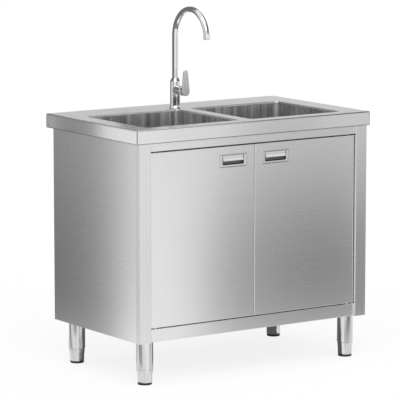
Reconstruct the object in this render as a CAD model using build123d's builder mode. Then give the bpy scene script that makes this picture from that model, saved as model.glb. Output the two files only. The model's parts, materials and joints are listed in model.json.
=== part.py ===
from build123d import *
import os
from math import cos, radians, sin

# A free-standing stainless-steel sink unit: a folded worktop with two welded bowls on a sheet-metal
# cabinet with two doors, four adjustable legs and a gooseneck mixer. Millimetres. The unit stands on
# the floor at Z = 0, its worktop is centred on X = 0, Y = 0; X runs along the front, +Y to the back.

# ---------------------------------------------------------------- driving dimensions
# worktop
width = 1000.0
depth = 600.0
height = 900.0
top_sheet = 1.5
apron_height = 50.0
top_bend = 4.0              # outer radius of the folded edges
side_overhang = 11.0        # apron beyond the cabinet's side
front_overhang = 3.0
back_overhang = 30.0
seat_gap = 0.5              # apron lip to cabinet

# bowls
bowl_width = 392.0
bowl_length = 388.0
bowl_height = 215.0         # worktop surface to bowl floor
bowl_sheet = 1.2
bowl_corner = 15.0
bowl_bend = 12.0            # floor to wall, inside
left_margin = 71.0          # worktop edge to left bowl
front_margin = 54.0
bowl_divider = 51.0
collar_height = 6.0         # turned-down edge of each opening, from the worktop surface
rim_bend = 3.0

# cabinet
cabinet_bottom = 154.0
panel_sheet = 1.5
fold = 2.0                  # outer radius of small folds
flange = 20.0
post_width = 48.0
post_wrap = 24.5
post_lip = 10.0
post_drop = 0.5             # the post ends just under the worktop's inner bend
rail_setback = 10.0         # rails and doors behind the post's face
top_rail_drop = 29.8        # top rail seen below the apron
top_rail_depth = 36.0
bottom_rail_height = 46.0
bottom_rail_depth = 30.0
shelf_flange = 38.0
service_width = 420.0
service_height = 200.0
service_rise = 38.0         # middle of the back panel's opening above the outlet pipe
service_corner = 25.0
brace_width = 30.0
brace_height = 25.0
brace_setback = 38.0        # the divider brace ends this far in front of the tap's axis
back_brace_inset = 37.0     # middle of the back brace in front of the back panel
brace_clear = 40.0          # half the back brace's gap behind the tap

# doors
door_gap_side = 1.5
door_gap_top = 3.5
door_gap_bottom = 3.0
door_gap_middle = 1.5
door_thickness = 20.0
door_sheet = 1.2
liner_flange = 5.0
pivot_inset = 24.0          # hinge axis from the door's outer edge
pivot_depth = 7.5           # hinge axis behind the door's face
pin_radius = 3.0
pin_clearance = 0.05
pin_head_radius = 6.0
pin_head = 3.0
pin_reach = 12.0            # length of pin inside the door
bush_radius = 5.0
bush_flange = 6.2
bush_flange_thickness = 1.5
bush_length = 14.0
hole_clearance = 0.1

# recessed pulls
pull_width = 121.0
pull_height = 48.0
pull_corner = 5.0
pull_plate = 1.2
pull_x = 91.0               # middle of the pull from the middle of the unit
pull_drop = 51.2            # middle of the pull below the door's top edge
pocket_width = 91.0
pocket_height = 31.0
pocket_depth = 14.0
pocket_wall = 1.5
pocket_shift = 1.5          # pocket's middle above the plate's middle
grip_height = 18.0
grip_reach = 6.0            # how far the grip tab stands out of the plate
grip_sheet = 1.5

# magnetic catch
catch_width = 60.0
catch_depth = 12.0
catch_height = 16.0
strike_width = 18.0
strike_height = 14.0
strike_sheet = 1.5
strike_x = 16.0
magnet_gap = 0.3

# legs and feet
leg_radius = 29.5
leg_wall = 2.0
leg_inset_x = 64.0
leg_inset_front = 55.0
leg_inset_back = 97.0
leg_end = 54.0              # lower end of the tube above the floor
channel_width = 64.0
channel_sheet = 2.0
leg_cap = 4.0               # disc welded into the tube's upper end
stud_radius = 8.0
stud_hole_clearance = 0.5
stud_nut_flats = 24.0
stud_nut = 13.0
plug_height = 16.0
spindle_radius = 10.0
spindle_top = 112.0
foot_gap = 0.3
foot_radius = 25.7
foot_top_radius = 28.6
cone_bottom = 28.0
pad_height = 7.5
pad_chamfer = 1.5

# mixer tap
tap_x = -32.0
tap_setback = 26.0          # tap's axis behind the bowls
tap_seal = 1.0
tap_flange_radius = 21.0
tap_flange_height = 9.0
tap_radius = 18.3
tap_shoulder = 100.5        # height of the body's cylinder above the worktop
tap_top = 112.0
tap_neck = 12.0             # radius at the body's top
spout_gap = 0.2             # body to spout, lets it swivel
spout_radius = 11.0
spout_bore = 9.5
spout_rise = 265.0          # height where the arch begins
spout_arch = 102.0          # radius of the arch
spout_sweep = 172.0
journal_radius = 9.0
journal_length = 25.0
running_clearance = 0.05
aerator_radius = 12.0
aerator_length = 14.0
aerator_overlap = 6.0
boss_height = 67.5          # cartridge axis above the worktop
boss_radius = 17.2
boss_reach = 49.0           # boss end in front of the tap's axis
cartridge_radius = 13.8
cartridge_start = 16.0
cartridge_end = 44.0
cap_radius = 16.0
tilt_reach = 50.0           # tilt axis in front of the tap's axis
cap_end = 60.0
cap_hole = 9.0
carrier_radius = 6.0
carrier_start = 24.0
fork_reach = 53.0
tongue_width = 5.0
cross_pin_radius = 2.0
cross_pin_length = 11.0
lever_back = 57.5
lever_front = 71.0
lever_disc = 16.6
lever_dish = 16.6
lever_height = 67.5         # from the disc's middle to the middle of the tip
lever_tip = 9.3
lever_plate = 6.0
socket_depth = 4.0
tap_hole = 17.5
shank_radius = 16.5
shank_bore = 13.0
shank_length = 45.0
back_nut_radius = 24.0
back_nut_height = 12.0
tail_radius = 5.0
tail_spread = 20.0
tail_start = 6.5
tail_end = 640.0
tail_nipple_radius = 10.48
tail_nipple = 15.0
tail_hex = 24.0
tail_hex_height = 8.0

# wastes
waste_flange = 56.0
waste_cup = 42.0
waste_wall = 2.0
waste_flange_thickness = 1.5
cup_drop = 50.0
spigot_radius = 20.0
spigot_drop = 75.0
gasket_thickness = 3.0
lock_nut_radius = 58.0
lock_nut_height = 12.0
basket_radius = 38.0
basket_rim = 46.0
basket_sheet = 1.2
basket_drop = 30.0
basket_knob = 9.0
basket_stem = 3.0
pipe_radius = 20.0
pipe_wall = 2.0
manifold_drop = 65.0        # pipes' axis below the strainers' ends
elbow_radius = 42.0
tee_radius = 24.0
tee_length = 84.0
tee_socket = 18.0           # how far a pipe is pushed into the tee
tee_step = 0.5              # the tee's drop is this much narrower than its run
slip_nut_radius = 29.0
slip_nut_height = 22.0
trap_radius = 37.0
trap_drop = 75.0            # top of the trap below the pipes' axis
trap_height = 125.0
trap_wall = 2.5
outlet_drop = 38.0          # outlet's axis below the top of the trap
socket_wall = 4.0
socket_reach = 50.0         # end of the trap's socket behind its axis
outlet_reach = 18.0         # end of the outlet pipe behind the cabinet
outlet_spigot = 45.0        # length that a wall pipe's socket is pushed over
outlet_chamfer = 1.0
stop_radius = 21.0          # ring that stops the socket
stop_width = 3.0

# ---------------------------------------------------------------- places worked out from them
top_under = height - top_sheet
apron_bottom = height - apron_height
cabinet_x = width / 2 - side_overhang
cabinet_front = -depth / 2 + front_overhang
cabinet_back = depth / 2 - back_overhang
post_x = cabinet_x - post_width            # inner side of the post
post_back = cabinet_front + post_wrap
rail_front = cabinet_front + rail_setback
rail_bottom = apron_bottom - top_rail_drop
rail_top = cabinet_bottom + bottom_rail_height
shelf_top = rail_top - panel_sheet
shelf_under = shelf_top - panel_sheet
back_panel_y = cabinet_back - 2 * panel_sheet
back_brace_y = back_panel_y - back_brace_inset
outlet_end = cabinet_back + outlet_reach

bowl_y = -depth / 2 + front_margin + bowl_length / 2
bowl_left_x = -width / 2 + left_margin + bowl_width / 2
bowl_right_x = bowl_left_x + bowl_width + bowl_divider
bowl_places = {"left": bowl_left_x, "right": bowl_right_x}
divider_x = (bowl_left_x + bowl_right_x) / 2
bowl_floor = height - bowl_height
collar_bottom = height - collar_height
spigot_end = bowl_floor - spigot_drop
manifold_z = spigot_end - manifold_drop
trap_top = manifold_z - trap_drop
trap_bottom = trap_top - trap_height
outlet_z = trap_top - outlet_drop
service_z = outlet_z + service_rise

door_outer = post_x - door_gap_side
door_inner = door_gap_middle / 2
door_bottom = rail_top + door_gap_bottom
door_top = rail_bottom - door_gap_top
door_back = rail_front + door_thickness
pivot_x = door_outer - pivot_inset
pivot_y = rail_front + pivot_depth
pull_z = door_top - pull_drop
pocket_z = pull_z + pocket_shift

leg_places = {
    "front_left": (-width / 2 + leg_inset_x, -depth / 2 + leg_inset_front),
    "front_right": (width / 2 - leg_inset_x, -depth / 2 + leg_inset_front),
    "back_left": (-width / 2 + leg_inset_x, depth / 2 - leg_inset_back),
    "back_right": (width / 2 - leg_inset_x, depth / 2 - leg_inset_back),
}
channel_top = cabinet_bottom + channel_sheet

tap_y = bowl_y + bowl_length / 2 + tap_setback
tap_z = height + tap_seal
boss_z = height + boss_height
tilt_y = tap_y - tilt_reach

mirror_plane = Plane.YZ


# ---------------------------------------------------------------- small helpers
def block(x_range, y_range, z_range, mode=Mode.ADD):
    """Adds or cuts the box between two corners in the part that is being built."""
    sizes = [high - low for low, high in (x_range, y_range, z_range)]
    middle = [(high + low) / 2 for low, high in (x_range, y_range, z_range)]
    with Locations(tuple(middle)):
        Box(*sizes, mode=mode)


def edges_at(part, axis, position):
    """The edges of a part that lie wholly in one plane across an axis."""
    return part.edges().filter_by_position(axis, position - 0.01, position + 0.01)


def turned(points, origin=(0, 0, 0), mode=Mode.ADD):
    """Turns an outline of (radius, height) points about the vertical through the origin."""
    with BuildSketch(Plane(origin=origin, x_dir=(1, 0, 0), z_dir=(0, -1, 0))) as outline:
        with BuildLine():
            Polyline(*points, close=True)
        make_face()
    revolve(outline.sketch, axis=Axis(origin, (0, 0, 1)), mode=mode)


os.makedirs("parts", exist_ok=True)

# ---------------------------------------------------------------- worktop and bowls
with BuildPart() as worktop:
    with BuildSketch(Plane.XY.offset(apron_bottom)):
        Rectangle(width, depth)
    extrude(amount=apron_height)
    fillet(edges_at(worktop, Axis.Z, height), top_bend)
    with BuildSketch(Plane.XY.offset(apron_bottom + top_sheet)):
        Rectangle(width - 2 * top_sheet, depth - 2 * top_sheet)
    extrude(amount=apron_height - 2 * top_sheet, mode=Mode.SUBTRACT)
    fillet(edges_at(worktop, Axis.Z, top_under), top_bend - top_sheet)
    # the apron's lip is turned in until it meets the cabinet; the front has none
    block((-cabinet_x - seat_gap, cabinet_x + seat_gap),
          (-depth / 2 + top_sheet, cabinet_back + seat_gap),
          (apron_bottom, apron_bottom + top_sheet), Mode.SUBTRACT)
    # each bowl opening has a turned-down collar that the bowl is welded to
    for place_x in bowl_places.values():
        with BuildSketch(Plane.XY.offset(collar_bottom)):
            with Locations((place_x, bowl_y)):
                RectangleRounded(bowl_width + 2 * top_sheet, bowl_length + 2 * top_sheet,
                                 bowl_corner + top_sheet)
        extrude(amount=collar_height - top_sheet)
    for place_x in bowl_places.values():
        with BuildSketch(Plane.XY.offset(collar_bottom)):
            with Locations((place_x, bowl_y)):
                RectangleRounded(bowl_width, bowl_length, bowl_corner)
        extrude(amount=collar_height, mode=Mode.SUBTRACT)
    rims = worktop.faces().sort_by(Axis.Z)[-1].inner_wires()
    fillet([edge for rim in rims for edge in rim.edges()], rim_bend)
    with BuildSketch(Plane.XY.offset(height)):
        with Locations((tap_x, tap_y)):
            Circle(tap_hole)
    extrude(amount=-top_sheet, mode=Mode.SUBTRACT)
worktop.part.label = "worktop"
export_step(worktop.part, "parts/worktop.step")

for side, place_x in bowl_places.items():
    with BuildPart() as bowl:
        with BuildSketch(Plane.XY.offset(collar_bottom)):
            with Locations((place_x, bowl_y)):
                RectangleRounded(bowl_width + 2 * bowl_sheet, bowl_length + 2 * bowl_sheet,
                                 bowl_corner + bowl_sheet)
        extrude(amount=-(bowl_height - collar_height + bowl_sheet))
        with BuildSketch(Plane.XY.offset(collar_bottom)):
            with Locations((place_x, bowl_y)):
                RectangleRounded(bowl_width, bowl_length, bowl_corner)
        extrude(amount=-(bowl_height - collar_height), mode=Mode.SUBTRACT)
        fillet(edges_at(bowl, Axis.Z, bowl_floor), bowl_bend)
        fillet(edges_at(bowl, Axis.Z, bowl_floor - bowl_sheet), bowl_bend + bowl_sheet)
        with BuildSketch(Plane.XY.offset(bowl_floor)):
            with Locations((place_x, bowl_y)):
                Circle(waste_cup + hole_clearance)
        extrude(amount=-bowl_sheet, mode=Mode.SUBTRACT)
    bowl.part.label = f"bowl_{side}"
    export_step(bowl.part, f"parts/bowl_{side}.step")

# upside-down channels stiffen the worktop, one under the divider and one each side of the tap
with BuildPart() as worktop_braces:
    brace_front = rail_front + flange + 5.0
    brace_x = cabinet_x - flange
    back_brace = (back_brace_y - brace_width / 2, back_brace_y + brace_width / 2)
    for x_range, y_range, along_y in (
        ((divider_x - brace_width / 2, divider_x + brace_width / 2), (brace_front, tap_y - brace_setback), True),
        ((-brace_x, tap_x - brace_clear), back_brace, False),
        ((tap_x + brace_clear, brace_x), back_brace, False),
    ):
        block(x_range, y_range, (top_under - brace_height, top_under))
        inset_x = panel_sheet if along_y else 0.0
        inset_y = 0.0 if along_y else panel_sheet
        block((x_range[0] + inset_x, x_range[1] - inset_x),
              (y_range[0] + inset_y, y_range[1] - inset_y),
              (top_under - brace_height, top_under - panel_sheet), Mode.SUBTRACT)
worktop_braces.part.label = "worktop_braces"
export_step(worktop_braces.part, "parts/worktop_braces.step")

# ---------------------------------------------------------------- cabinet shell
# the side is a shallow pan, open to the inside; its front flange closes the back of the post
with BuildPart() as side_panel_left:
    block((-cabinet_x, -cabinet_x + flange), (post_back, cabinet_back), (cabinet_bottom, top_under))
    back_corners = side_panel_left.edges().filter_by(Axis.Z).group_by(Axis.Y)[-1]
    fillet(back_corners.sort_by(Axis.X)[0], fold)
    block((-cabinet_x + panel_sheet, -cabinet_x + flange),
          (post_back + panel_sheet, cabinet_back - panel_sheet),
          (cabinet_bottom + panel_sheet, top_under - panel_sheet), Mode.SUBTRACT)
    block((-cabinet_x + flange, -post_x), (post_back, post_back + panel_sheet),
          (cabinet_bottom, top_under))
side_panel_left.part.label = "side_panel_left"
export_step(side_panel_left.part, "parts/side_panel_left.step")

with BuildPart() as side_panel_right:
    mirror(side_panel_left.part, about=mirror_plane)
side_panel_right.part.label = "side_panel_right"
export_step(side_panel_right.part, "parts/side_panel_right.step")

# the front post is a folded channel: side return, face, door side and a narrow lip
with BuildPart() as front_post_left:
    with BuildSketch(Plane.XY.offset(cabinet_bottom)) as post_section:
        with Locations((-cabinet_x + post_width / 2, cabinet_front + post_wrap / 2)):
            Rectangle(post_width, post_wrap)
            fillet(post_section.vertices().group_by(Axis.Y)[0], fold)
            Rectangle(post_width - 2 * panel_sheet, post_wrap - 2 * panel_sheet, mode=Mode.SUBTRACT)
        with Locations((-cabinet_x + panel_sheet, post_back)):
            Rectangle(post_width - panel_sheet - post_lip, 2 * panel_sheet,
                      align=(Align.MIN, Align.CENTER), mode=Mode.SUBTRACT)
    extrude(amount=top_under - post_drop - cabinet_bottom)
front_post_left.part.label = "front_post_left"
export_step(front_post_left.part, "parts/front_post_left.step")

with BuildPart() as front_post_right:
    mirror(front_post_left.part, about=mirror_plane)
front_post_right.part.label = "front_post_right"
export_step(front_post_right.part, "parts/front_post_right.step")

# rails are channels with their open side to the back
with BuildPart() as top_rail:
    block((-post_x, post_x), (rail_front, rail_front + top_rail_depth), (rail_bottom, top_under))
    fillet(top_rail.edges().filter_by(Axis.X).group_by(Axis.Z)[0].sort_by(Axis.Y)[0], fold)
    block((-post_x, post_x), (rail_front + panel_sheet, rail_front + top_rail_depth),
          (rail_bottom + panel_sheet, top_under - panel_sheet), Mode.SUBTRACT)
    block((-post_x, post_x), (rail_front + flange + 5.0, rail_front + top_rail_depth),
          (top_under - panel_sheet, top_under), Mode.SUBTRACT)
    with BuildSketch(Plane.XY.offset(rail_bottom)):
        with Locations((-pivot_x, pivot_y), (pivot_x, pivot_y)):
            Circle(pin_radius + hole_clearance)
    extrude(amount=panel_sheet, mode=Mode.SUBTRACT)
top_rail.part.label = "top_rail"
export_step(top_rail.part, "parts/top_rail.step")

with BuildPart() as bottom_rail:
    block((-post_x, post_x), (rail_front, rail_front + bottom_rail_depth), (cabinet_bottom, rail_top))
    fillet(bottom_rail.edges().filter_by(Axis.X).group_by(Axis.Y)[0], fold)
    block((-post_x, post_x), (rail_front + panel_sheet, rail_front + bottom_rail_depth),
          (cabinet_bottom + panel_sheet, rail_top - panel_sheet), Mode.SUBTRACT)
    block((-post_x, post_x), (rail_front + bottom_rail_depth / 2, rail_front + bottom_rail_depth),
          (cabinet_bottom, cabinet_bottom + panel_sheet), Mode.SUBTRACT)
    with BuildSketch(Plane.XY.offset(rail_top)):
        with Locations((-pivot_x, pivot_y), (pivot_x, pivot_y)):
            Circle(pin_radius + hole_clearance)
    extrude(amount=-panel_sheet, mode=Mode.SUBTRACT)
bottom_rail.part.label = "bottom_rail"
export_step(bottom_rail.part, "parts/bottom_rail.step")

with BuildPart() as bottom_shelf:
    shelf_x = cabinet_x - panel_sheet
    shelf_front = post_back + panel_sheet
    block((-shelf_x, shelf_x), (shelf_front, back_panel_y), (shelf_top - shelf_flange, shelf_top))
    block((-shelf_x + panel_sheet, shelf_x - panel_sheet),
          (shelf_front + panel_sheet, back_panel_y - panel_sheet),
          (shelf_top - shelf_flange, shelf_under), Mode.SUBTRACT)
bottom_shelf.part.label = "bottom_shelf"
export_step(bottom_shelf.part, "parts/bottom_shelf.step")

# the back panel lies on the side panels' back flanges; pipes pass through its opening
with BuildPart() as back_panel:
    panel_x = cabinet_x - panel_sheet - seat_gap
    block((-panel_x, panel_x), (back_panel_y, back_panel_y + panel_sheet),
          (cabinet_bottom + panel_sheet, top_under - panel_sheet))
    with BuildSketch(Plane.XZ.offset(-back_panel_y - panel_sheet)):
        with Locations((divider_x, service_z)):
            RectangleRounded(service_width, service_height, service_corner)
    extrude(amount=panel_sheet, mode=Mode.SUBTRACT)
back_panel.part.label = "back_panel"
export_step(back_panel.part, "parts/back_panel.step")

# ---------------------------------------------------------------- legs
with BuildPart() as leg_channels:
    channel_ends = (shelf_front + panel_sheet, back_panel_y - panel_sheet)
    for side in (-1, 1):
        channel_x = side * (width / 2 - leg_inset_x)
        block((channel_x - channel_width / 2, channel_x + channel_width / 2), channel_ends,
              (cabinet_bottom, shelf_under))
        block((channel_x - channel_width / 2 + channel_sheet, channel_x + channel_width / 2 - channel_sheet),
              channel_ends, (channel_top, shelf_under), Mode.SUBTRACT)
    with BuildSketch(Plane.XY.offset(cabinet_bottom)):
        with Locations(*leg_places.values()):
            Circle(stud_radius + stud_hole_clearance)
    extrude(amount=channel_sheet, mode=Mode.SUBTRACT)
leg_channels.part.label = "leg_channels"
export_step(leg_channels.part, "parts/leg_channels.step")

for corner, (leg_x, leg_y) in leg_places.items():
    # tube with a welded cap and a stud that goes up through the channel
    with BuildPart() as leg:
        turned([(0, cabinet_bottom - leg_cap), (leg_radius - leg_wall, cabinet_bottom - leg_cap),
                (leg_radius - leg_wall, leg_end), (leg_radius, leg_end), (leg_radius, cabinet_bottom),
                (stud_radius, cabinet_bottom), (stud_radius, channel_top + 1.5 * stud_nut),
                (0, channel_top + 1.5 * stud_nut)], origin=(leg_x, leg_y, 0))
    leg.part.label = f"leg_{corner}"
    export_step(leg.part, f"parts/leg_{corner}.step")

    # the foot: threaded spindle, tapered sleeve and a light chamfer above the pad
    with BuildPart() as foot:
        foot_top = leg_end - foot_gap
        chamfer_size = pad_chamfer
        turned([(0, pad_height), (foot_radius - chamfer_size, pad_height),
                (foot_radius, pad_height + 2 * chamfer_size), (foot_radius, cone_bottom),
                (foot_top_radius, foot_top - chamfer_size), (foot_top_radius - chamfer_size, foot_top),
                (spindle_radius, foot_top), (spindle_radius, spindle_top - chamfer_size),
                (spindle_radius - chamfer_size, spindle_top), (0, spindle_top)],
               origin=(leg_x, leg_y, 0))
    foot.part.label = f"foot_{corner}"
    export_step(foot.part, f"parts/foot_{corner}.step")

    with BuildPart() as foot_pad:
        turned([(0, 0), (foot_radius - pad_chamfer, 0), (foot_radius - pad_chamfer / 2, pad_chamfer),
                (foot_radius - pad_chamfer / 2, pad_height), (0, pad_height)],
               origin=(leg_x, leg_y, 0))
    foot_pad.part.label = f"foot_pad_{corner}"
    export_step(foot_pad.part, f"parts/foot_pad_{corner}.step")

with BuildPart() as leg_plugs:
    with BuildSketch(Plane.XY.offset(leg_end)):
        with Locations(*leg_places.values()):
            Circle(leg_radius - leg_wall - hole_clearance)
            Circle(spindle_radius + running_clearance, mode=Mode.SUBTRACT)
    extrude(amount=plug_height)
leg_plugs.part.label = "leg_plugs"
export_step(leg_plugs.part, "parts/leg_plugs.step")

with BuildPart() as leg_nuts:
    with BuildSketch(Plane.XY.offset(channel_top)):
        with Locations(*leg_places.values()):
            RegularPolygon(stud_nut_flats / 2, 6, major_radius=False)
            Circle(stud_radius, mode=Mode.SUBTRACT)
    extrude(amount=stud_nut)
leg_nuts.part.label = "leg_nuts"
export_step(leg_nuts.part, "parts/leg_nuts.step")

# ---------------------------------------------------------------- doors
# shouldered hinge pins: the upper ones hang in the top rail, the lower ones stand on the bottom rail
with BuildPart() as pivot_pins:
    for pin_x in (-pivot_x, pivot_x):
        turned([(0, door_top - pin_reach), (pin_radius, door_top - pin_reach),
                (pin_radius, rail_bottom + panel_sheet), (pin_head_radius, rail_bottom + panel_sheet),
                (pin_head_radius, rail_bottom + panel_sheet + pin_head),
                (0, rail_bottom + panel_sheet + pin_head)], origin=(pin_x, pivot_y, 0))
        turned([(0, rail_top - panel_sheet - pin_head), (pin_radius, rail_top - panel_sheet - pin_head),
                (pin_radius, rail_top), (pin_head_radius, rail_top),
                (pin_head_radius, door_bottom), (pin_radius, door_bottom),
                (pin_radius, door_bottom + pin_reach), (0, door_bottom + pin_reach)],
               origin=(pin_x, pivot_y, 0))
pivot_pins.part.label = "pivot_pins"
export_step(pivot_pins.part, "parts/pivot_pins.step")

# the outer pan, open to the back, with the cut-out for the pull
with BuildPart() as door_left_skin:
    block((-door_outer, -door_inner), (rail_front, door_back), (door_bottom, door_top))
    fillet(edges_at(door_left_skin, Axis.Y, rail_front), fold)
    block((-door_outer + door_sheet, -door_inner - door_sheet), (rail_front + door_sheet, door_back),
          (door_bottom + door_sheet, door_top - door_sheet), Mode.SUBTRACT)
    with BuildSketch(Plane.XZ.offset(-rail_front)):
        with Locations((-pull_x, pocket_z)):
            Rectangle(pocket_width + 2 * pocket_wall + 2 * hole_clearance,
                      pocket_height + 2 * pocket_wall + 2 * hole_clearance)
    extrude(amount=-door_sheet, mode=Mode.SUBTRACT)
    for plane_z, amount in ((door_bottom, door_sheet), (door_top, -door_sheet)):
        with BuildSketch(Plane.XY.offset(plane_z)):
            with Locations((-pivot_x, pivot_y)):
                Circle(bush_radius + hole_clearance)
        extrude(amount=amount, mode=Mode.SUBTRACT)
door_left_skin.part.label = "door_left_skin"
export_step(door_left_skin.part, "parts/door_left_skin.step")

with BuildPart() as door_left_liner:
    liner_x = (-door_outer + door_sheet, -door_inner - door_sheet)
    liner_z = (door_bottom + door_sheet, door_top - door_sheet)
    block(liner_x, (door_back - liner_flange, door_back), liner_z)
    block((liner_x[0] + door_sheet, liner_x[1] - door_sheet),
          (door_back - liner_flange, door_back - door_sheet),
          (liner_z[0] + door_sheet, liner_z[1] - door_sheet), Mode.SUBTRACT)
door_left_liner.part.label = "door_left_liner"
export_step(door_left_liner.part, "parts/door_left_liner.step")

# recessed pull: face plate, drawn pocket and the grip tab that leans out over it
with BuildPart() as door_left_pull:
    with BuildSketch(Plane.XZ.offset(-rail_front)):
        with Locations((-pull_x, pull_z)):
            RectangleRounded(pull_width, pull_height, pull_corner)
    extrude(amount=pull_plate)
    fillet(edges_at(door_left_pull, Axis.Y, rail_front - pull_plate), pull_plate / 2)
    pocket_half = pocket_width / 2
    block((-pull_x - pocket_half - pocket_wall, -pull_x + pocket_half + pocket_wall),
          (rail_front, rail_front + pocket_depth),
          (pocket_z - pocket_height / 2 - pocket_wall, pocket_z + pocket_height / 2 + pocket_wall))
    block((-pull_x - pocket_half, -pull_x + pocket_half),
          (rail_front - pull_plate, rail_front + pocket_depth - pocket_wall),
          (pocket_z - pocket_height / 2, pocket_z + pocket_height / 2), Mode.SUBTRACT)
    grip_top = pocket_z + pocket_height / 2
    grip_face = rail_front - pull_plate
    with BuildSketch(Plane.YZ.offset(-pull_x - pocket_half)):
        with BuildLine():
            grip_low = grip_top - grip_height
            outer = Line((grip_face, grip_top), (grip_face - grip_reach, grip_low + grip_sheet))
            curl = ThreePointArc(outer @ 1, (grip_face - grip_reach + grip_sheet, grip_low),
                                 (grip_face - grip_reach + 2 * grip_sheet, grip_low + grip_sheet))
            inner = Line(curl @ 1, (grip_face + 2 * grip_sheet, grip_top))
            Line(inner @ 1, outer @ 0)
        make_face()
    extrude(amount=pocket_width)
door_left_pull.part.label = "door_left_pull"
export_step(door_left_pull.part, "parts/door_left_pull.step")

with BuildPart() as door_left_bushes:
    bore = pin_radius + pin_clearance
    for end_z, inside in ((door_bottom, 1), (door_top, -1)):
        flange_z = end_z + inside * door_sheet
        turned([(bore, end_z), (bush_radius, end_z), (bush_radius, flange_z), (bush_flange, flange_z),
                (bush_flange, flange_z + inside * bush_flange_thickness),
                (bush_radius, flange_z + inside * bush_flange_thickness),
                (bush_radius, end_z + inside * bush_length), (bore, end_z + inside * bush_length)],
               origin=(-pivot_x, pivot_y, 0))
door_left_bushes.part.label = "door_left_bushes"
export_step(door_left_bushes.part, "parts/door_left_bushes.step")

with BuildPart() as door_left_strike:
    strike_z = (door_top - strike_height - door_sheet, door_top - door_sheet)
    block((-strike_x - strike_width / 2, -strike_x + strike_width / 2),
          (door_back, door_back + strike_sheet), strike_z)
door_left_strike.part.label = "door_left_strike"
export_step(door_left_strike.part, "parts/door_left_strike.step")

for piece, left in (("skin", door_left_skin), ("liner", door_left_liner), ("pull", door_left_pull),
                    ("bushes", door_left_bushes), ("strike", door_left_strike)):
    with BuildPart() as right:
        mirror(left.part, about=mirror_plane)
    right.part.label = f"door_right_{piece}"
    export_step(right.part, f"parts/door_right_{piece}.step")

# double magnetic catch under the top rail, one pole for each strike plate
with BuildPart() as door_catch:
    catch_front = door_back + strike_sheet + magnet_gap
    block((-catch_width / 2, catch_width / 2), (catch_front, catch_front + catch_depth),
          (rail_bottom - catch_height, rail_bottom))
    fillet(door_catch.edges().filter_by(Axis.Z), fold)
    for pole in (-strike_x, strike_x):
        for edge_x in (pole - strike_width / 4, pole + strike_width / 4):
            block((edge_x - panel_sheet / 2, edge_x + panel_sheet / 2),
                  (catch_front, catch_front + panel_sheet),
                  (rail_bottom - catch_height + fold, rail_bottom - fold), Mode.SUBTRACT)
door_catch.part.label = "door_catch"
export_step(door_catch.part, "parts/door_catch.step")

# ---------------------------------------------------------------- mixer tap

def boss_turned(points, mode=Mode.ADD):
    """Turns an outline of (radius, reach) points about the cartridge's axis, reach counted forwards."""
    with BuildSketch(Plane(origin=(tap_x, tap_y, boss_z), x_dir=(1, 0, 0), z_dir=(0, 0, 1))) as outline:
        with BuildLine():
            Polyline(*[(radius, -reach) for radius, reach in points], close=True)
        make_face()
    revolve(outline.sketch, axis=Axis((tap_x, tap_y, boss_z), (0, 1, 0)), mode=mode)


with BuildPart() as tap_base_seal:
    with BuildSketch(Plane.XY.offset(height)):
        with Locations((tap_x, tap_y)):
            Circle(tap_flange_radius - tap_seal)
            Circle(tap_hole, mode=Mode.SUBTRACT)
    extrude(amount=tap_seal)
tap_base_seal.part.label = "tap_base_seal"
export_step(tap_base_seal.part, "parts/tap_base_seal.step")

with BuildPart() as tap_body:
    turned([(0, tap_z), (tap_flange_radius, tap_z), (tap_flange_radius, tap_z + tap_flange_height / 2),
            (tap_radius + tap_seal, tap_z + tap_flange_height), (tap_radius, tap_z + tap_flange_height + 1),
            (tap_radius, height + tap_shoulder), (tap_neck, height + tap_top), (0, height + tap_top)],
           origin=(tap_x, tap_y, 0))
    boss_turned([(0, 0), (boss_radius, 0), (boss_radius, boss_reach - 1), (boss_radius - 1, boss_reach),
                 (0, boss_reach)])
    boss_turned([(0, cartridge_start), (cartridge_radius + hole_clearance, cartridge_start),
                 (cartridge_radius + hole_clearance, boss_reach), (0, boss_reach)], Mode.SUBTRACT)
    turned([(0, height + tap_top - journal_length), (journal_radius + running_clearance,
             height + tap_top - journal_length), (journal_radius + running_clearance, height + tap_top),
            (0, height + tap_top)], origin=(tap_x, tap_y, 0), mode=Mode.SUBTRACT)
tap_body.part.label = "tap_body"
export_step(tap_body.part, "parts/tap_body.step")

# gooseneck: a tube with a turned journal that swivels in the body
arch_start = Vector(tap_x, tap_y, height + spout_rise)
arch_centre = arch_start - Vector(0, spout_arch, 0)
arch_end = arch_centre + Vector(0, spout_arch * cos(radians(180 - spout_sweep)) * -1,
                                spout_arch * sin(radians(180 - spout_sweep)))
arch_middle = arch_centre + Vector(0, spout_arch * cos(radians(spout_sweep / 2)),
                                   spout_arch * sin(radians(spout_sweep / 2)))
outlet_direction = Vector(0, -sin(radians(180 - spout_sweep)), -cos(radians(180 - spout_sweep)))
spout_foot = height + tap_top + spout_gap
with BuildPart() as spout_tube:
    with BuildLine() as spout_path:
        Line((tap_x, tap_y, spout_foot), arch_start)
        ThreePointArc(arch_start, arch_middle, arch_end)
        Line(arch_end, arch_end + outlet_direction * aerator_overlap)
    with BuildSketch(Plane.XY.offset(spout_foot)):
        with Locations((tap_x, tap_y)):
            Circle(spout_radius)
            Circle(spout_bore, mode=Mode.SUBTRACT)
    sweep(path=spout_path.line)
    journal_foot = height + tap_top - journal_length + foot_gap
    turned([(journal_radius - 2, journal_foot), (journal_radius, journal_foot),
            (journal_radius, spout_foot), (spout_bore + 0.5, spout_foot),
            (spout_bore + 0.5, spout_foot + 3), (journal_radius - 2, spout_foot + 3)],
           origin=(tap_x, tap_y, 0))
spout_tube.part.label = "spout_tube"
export_step(spout_tube.part, "parts/spout_tube.step")

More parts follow.
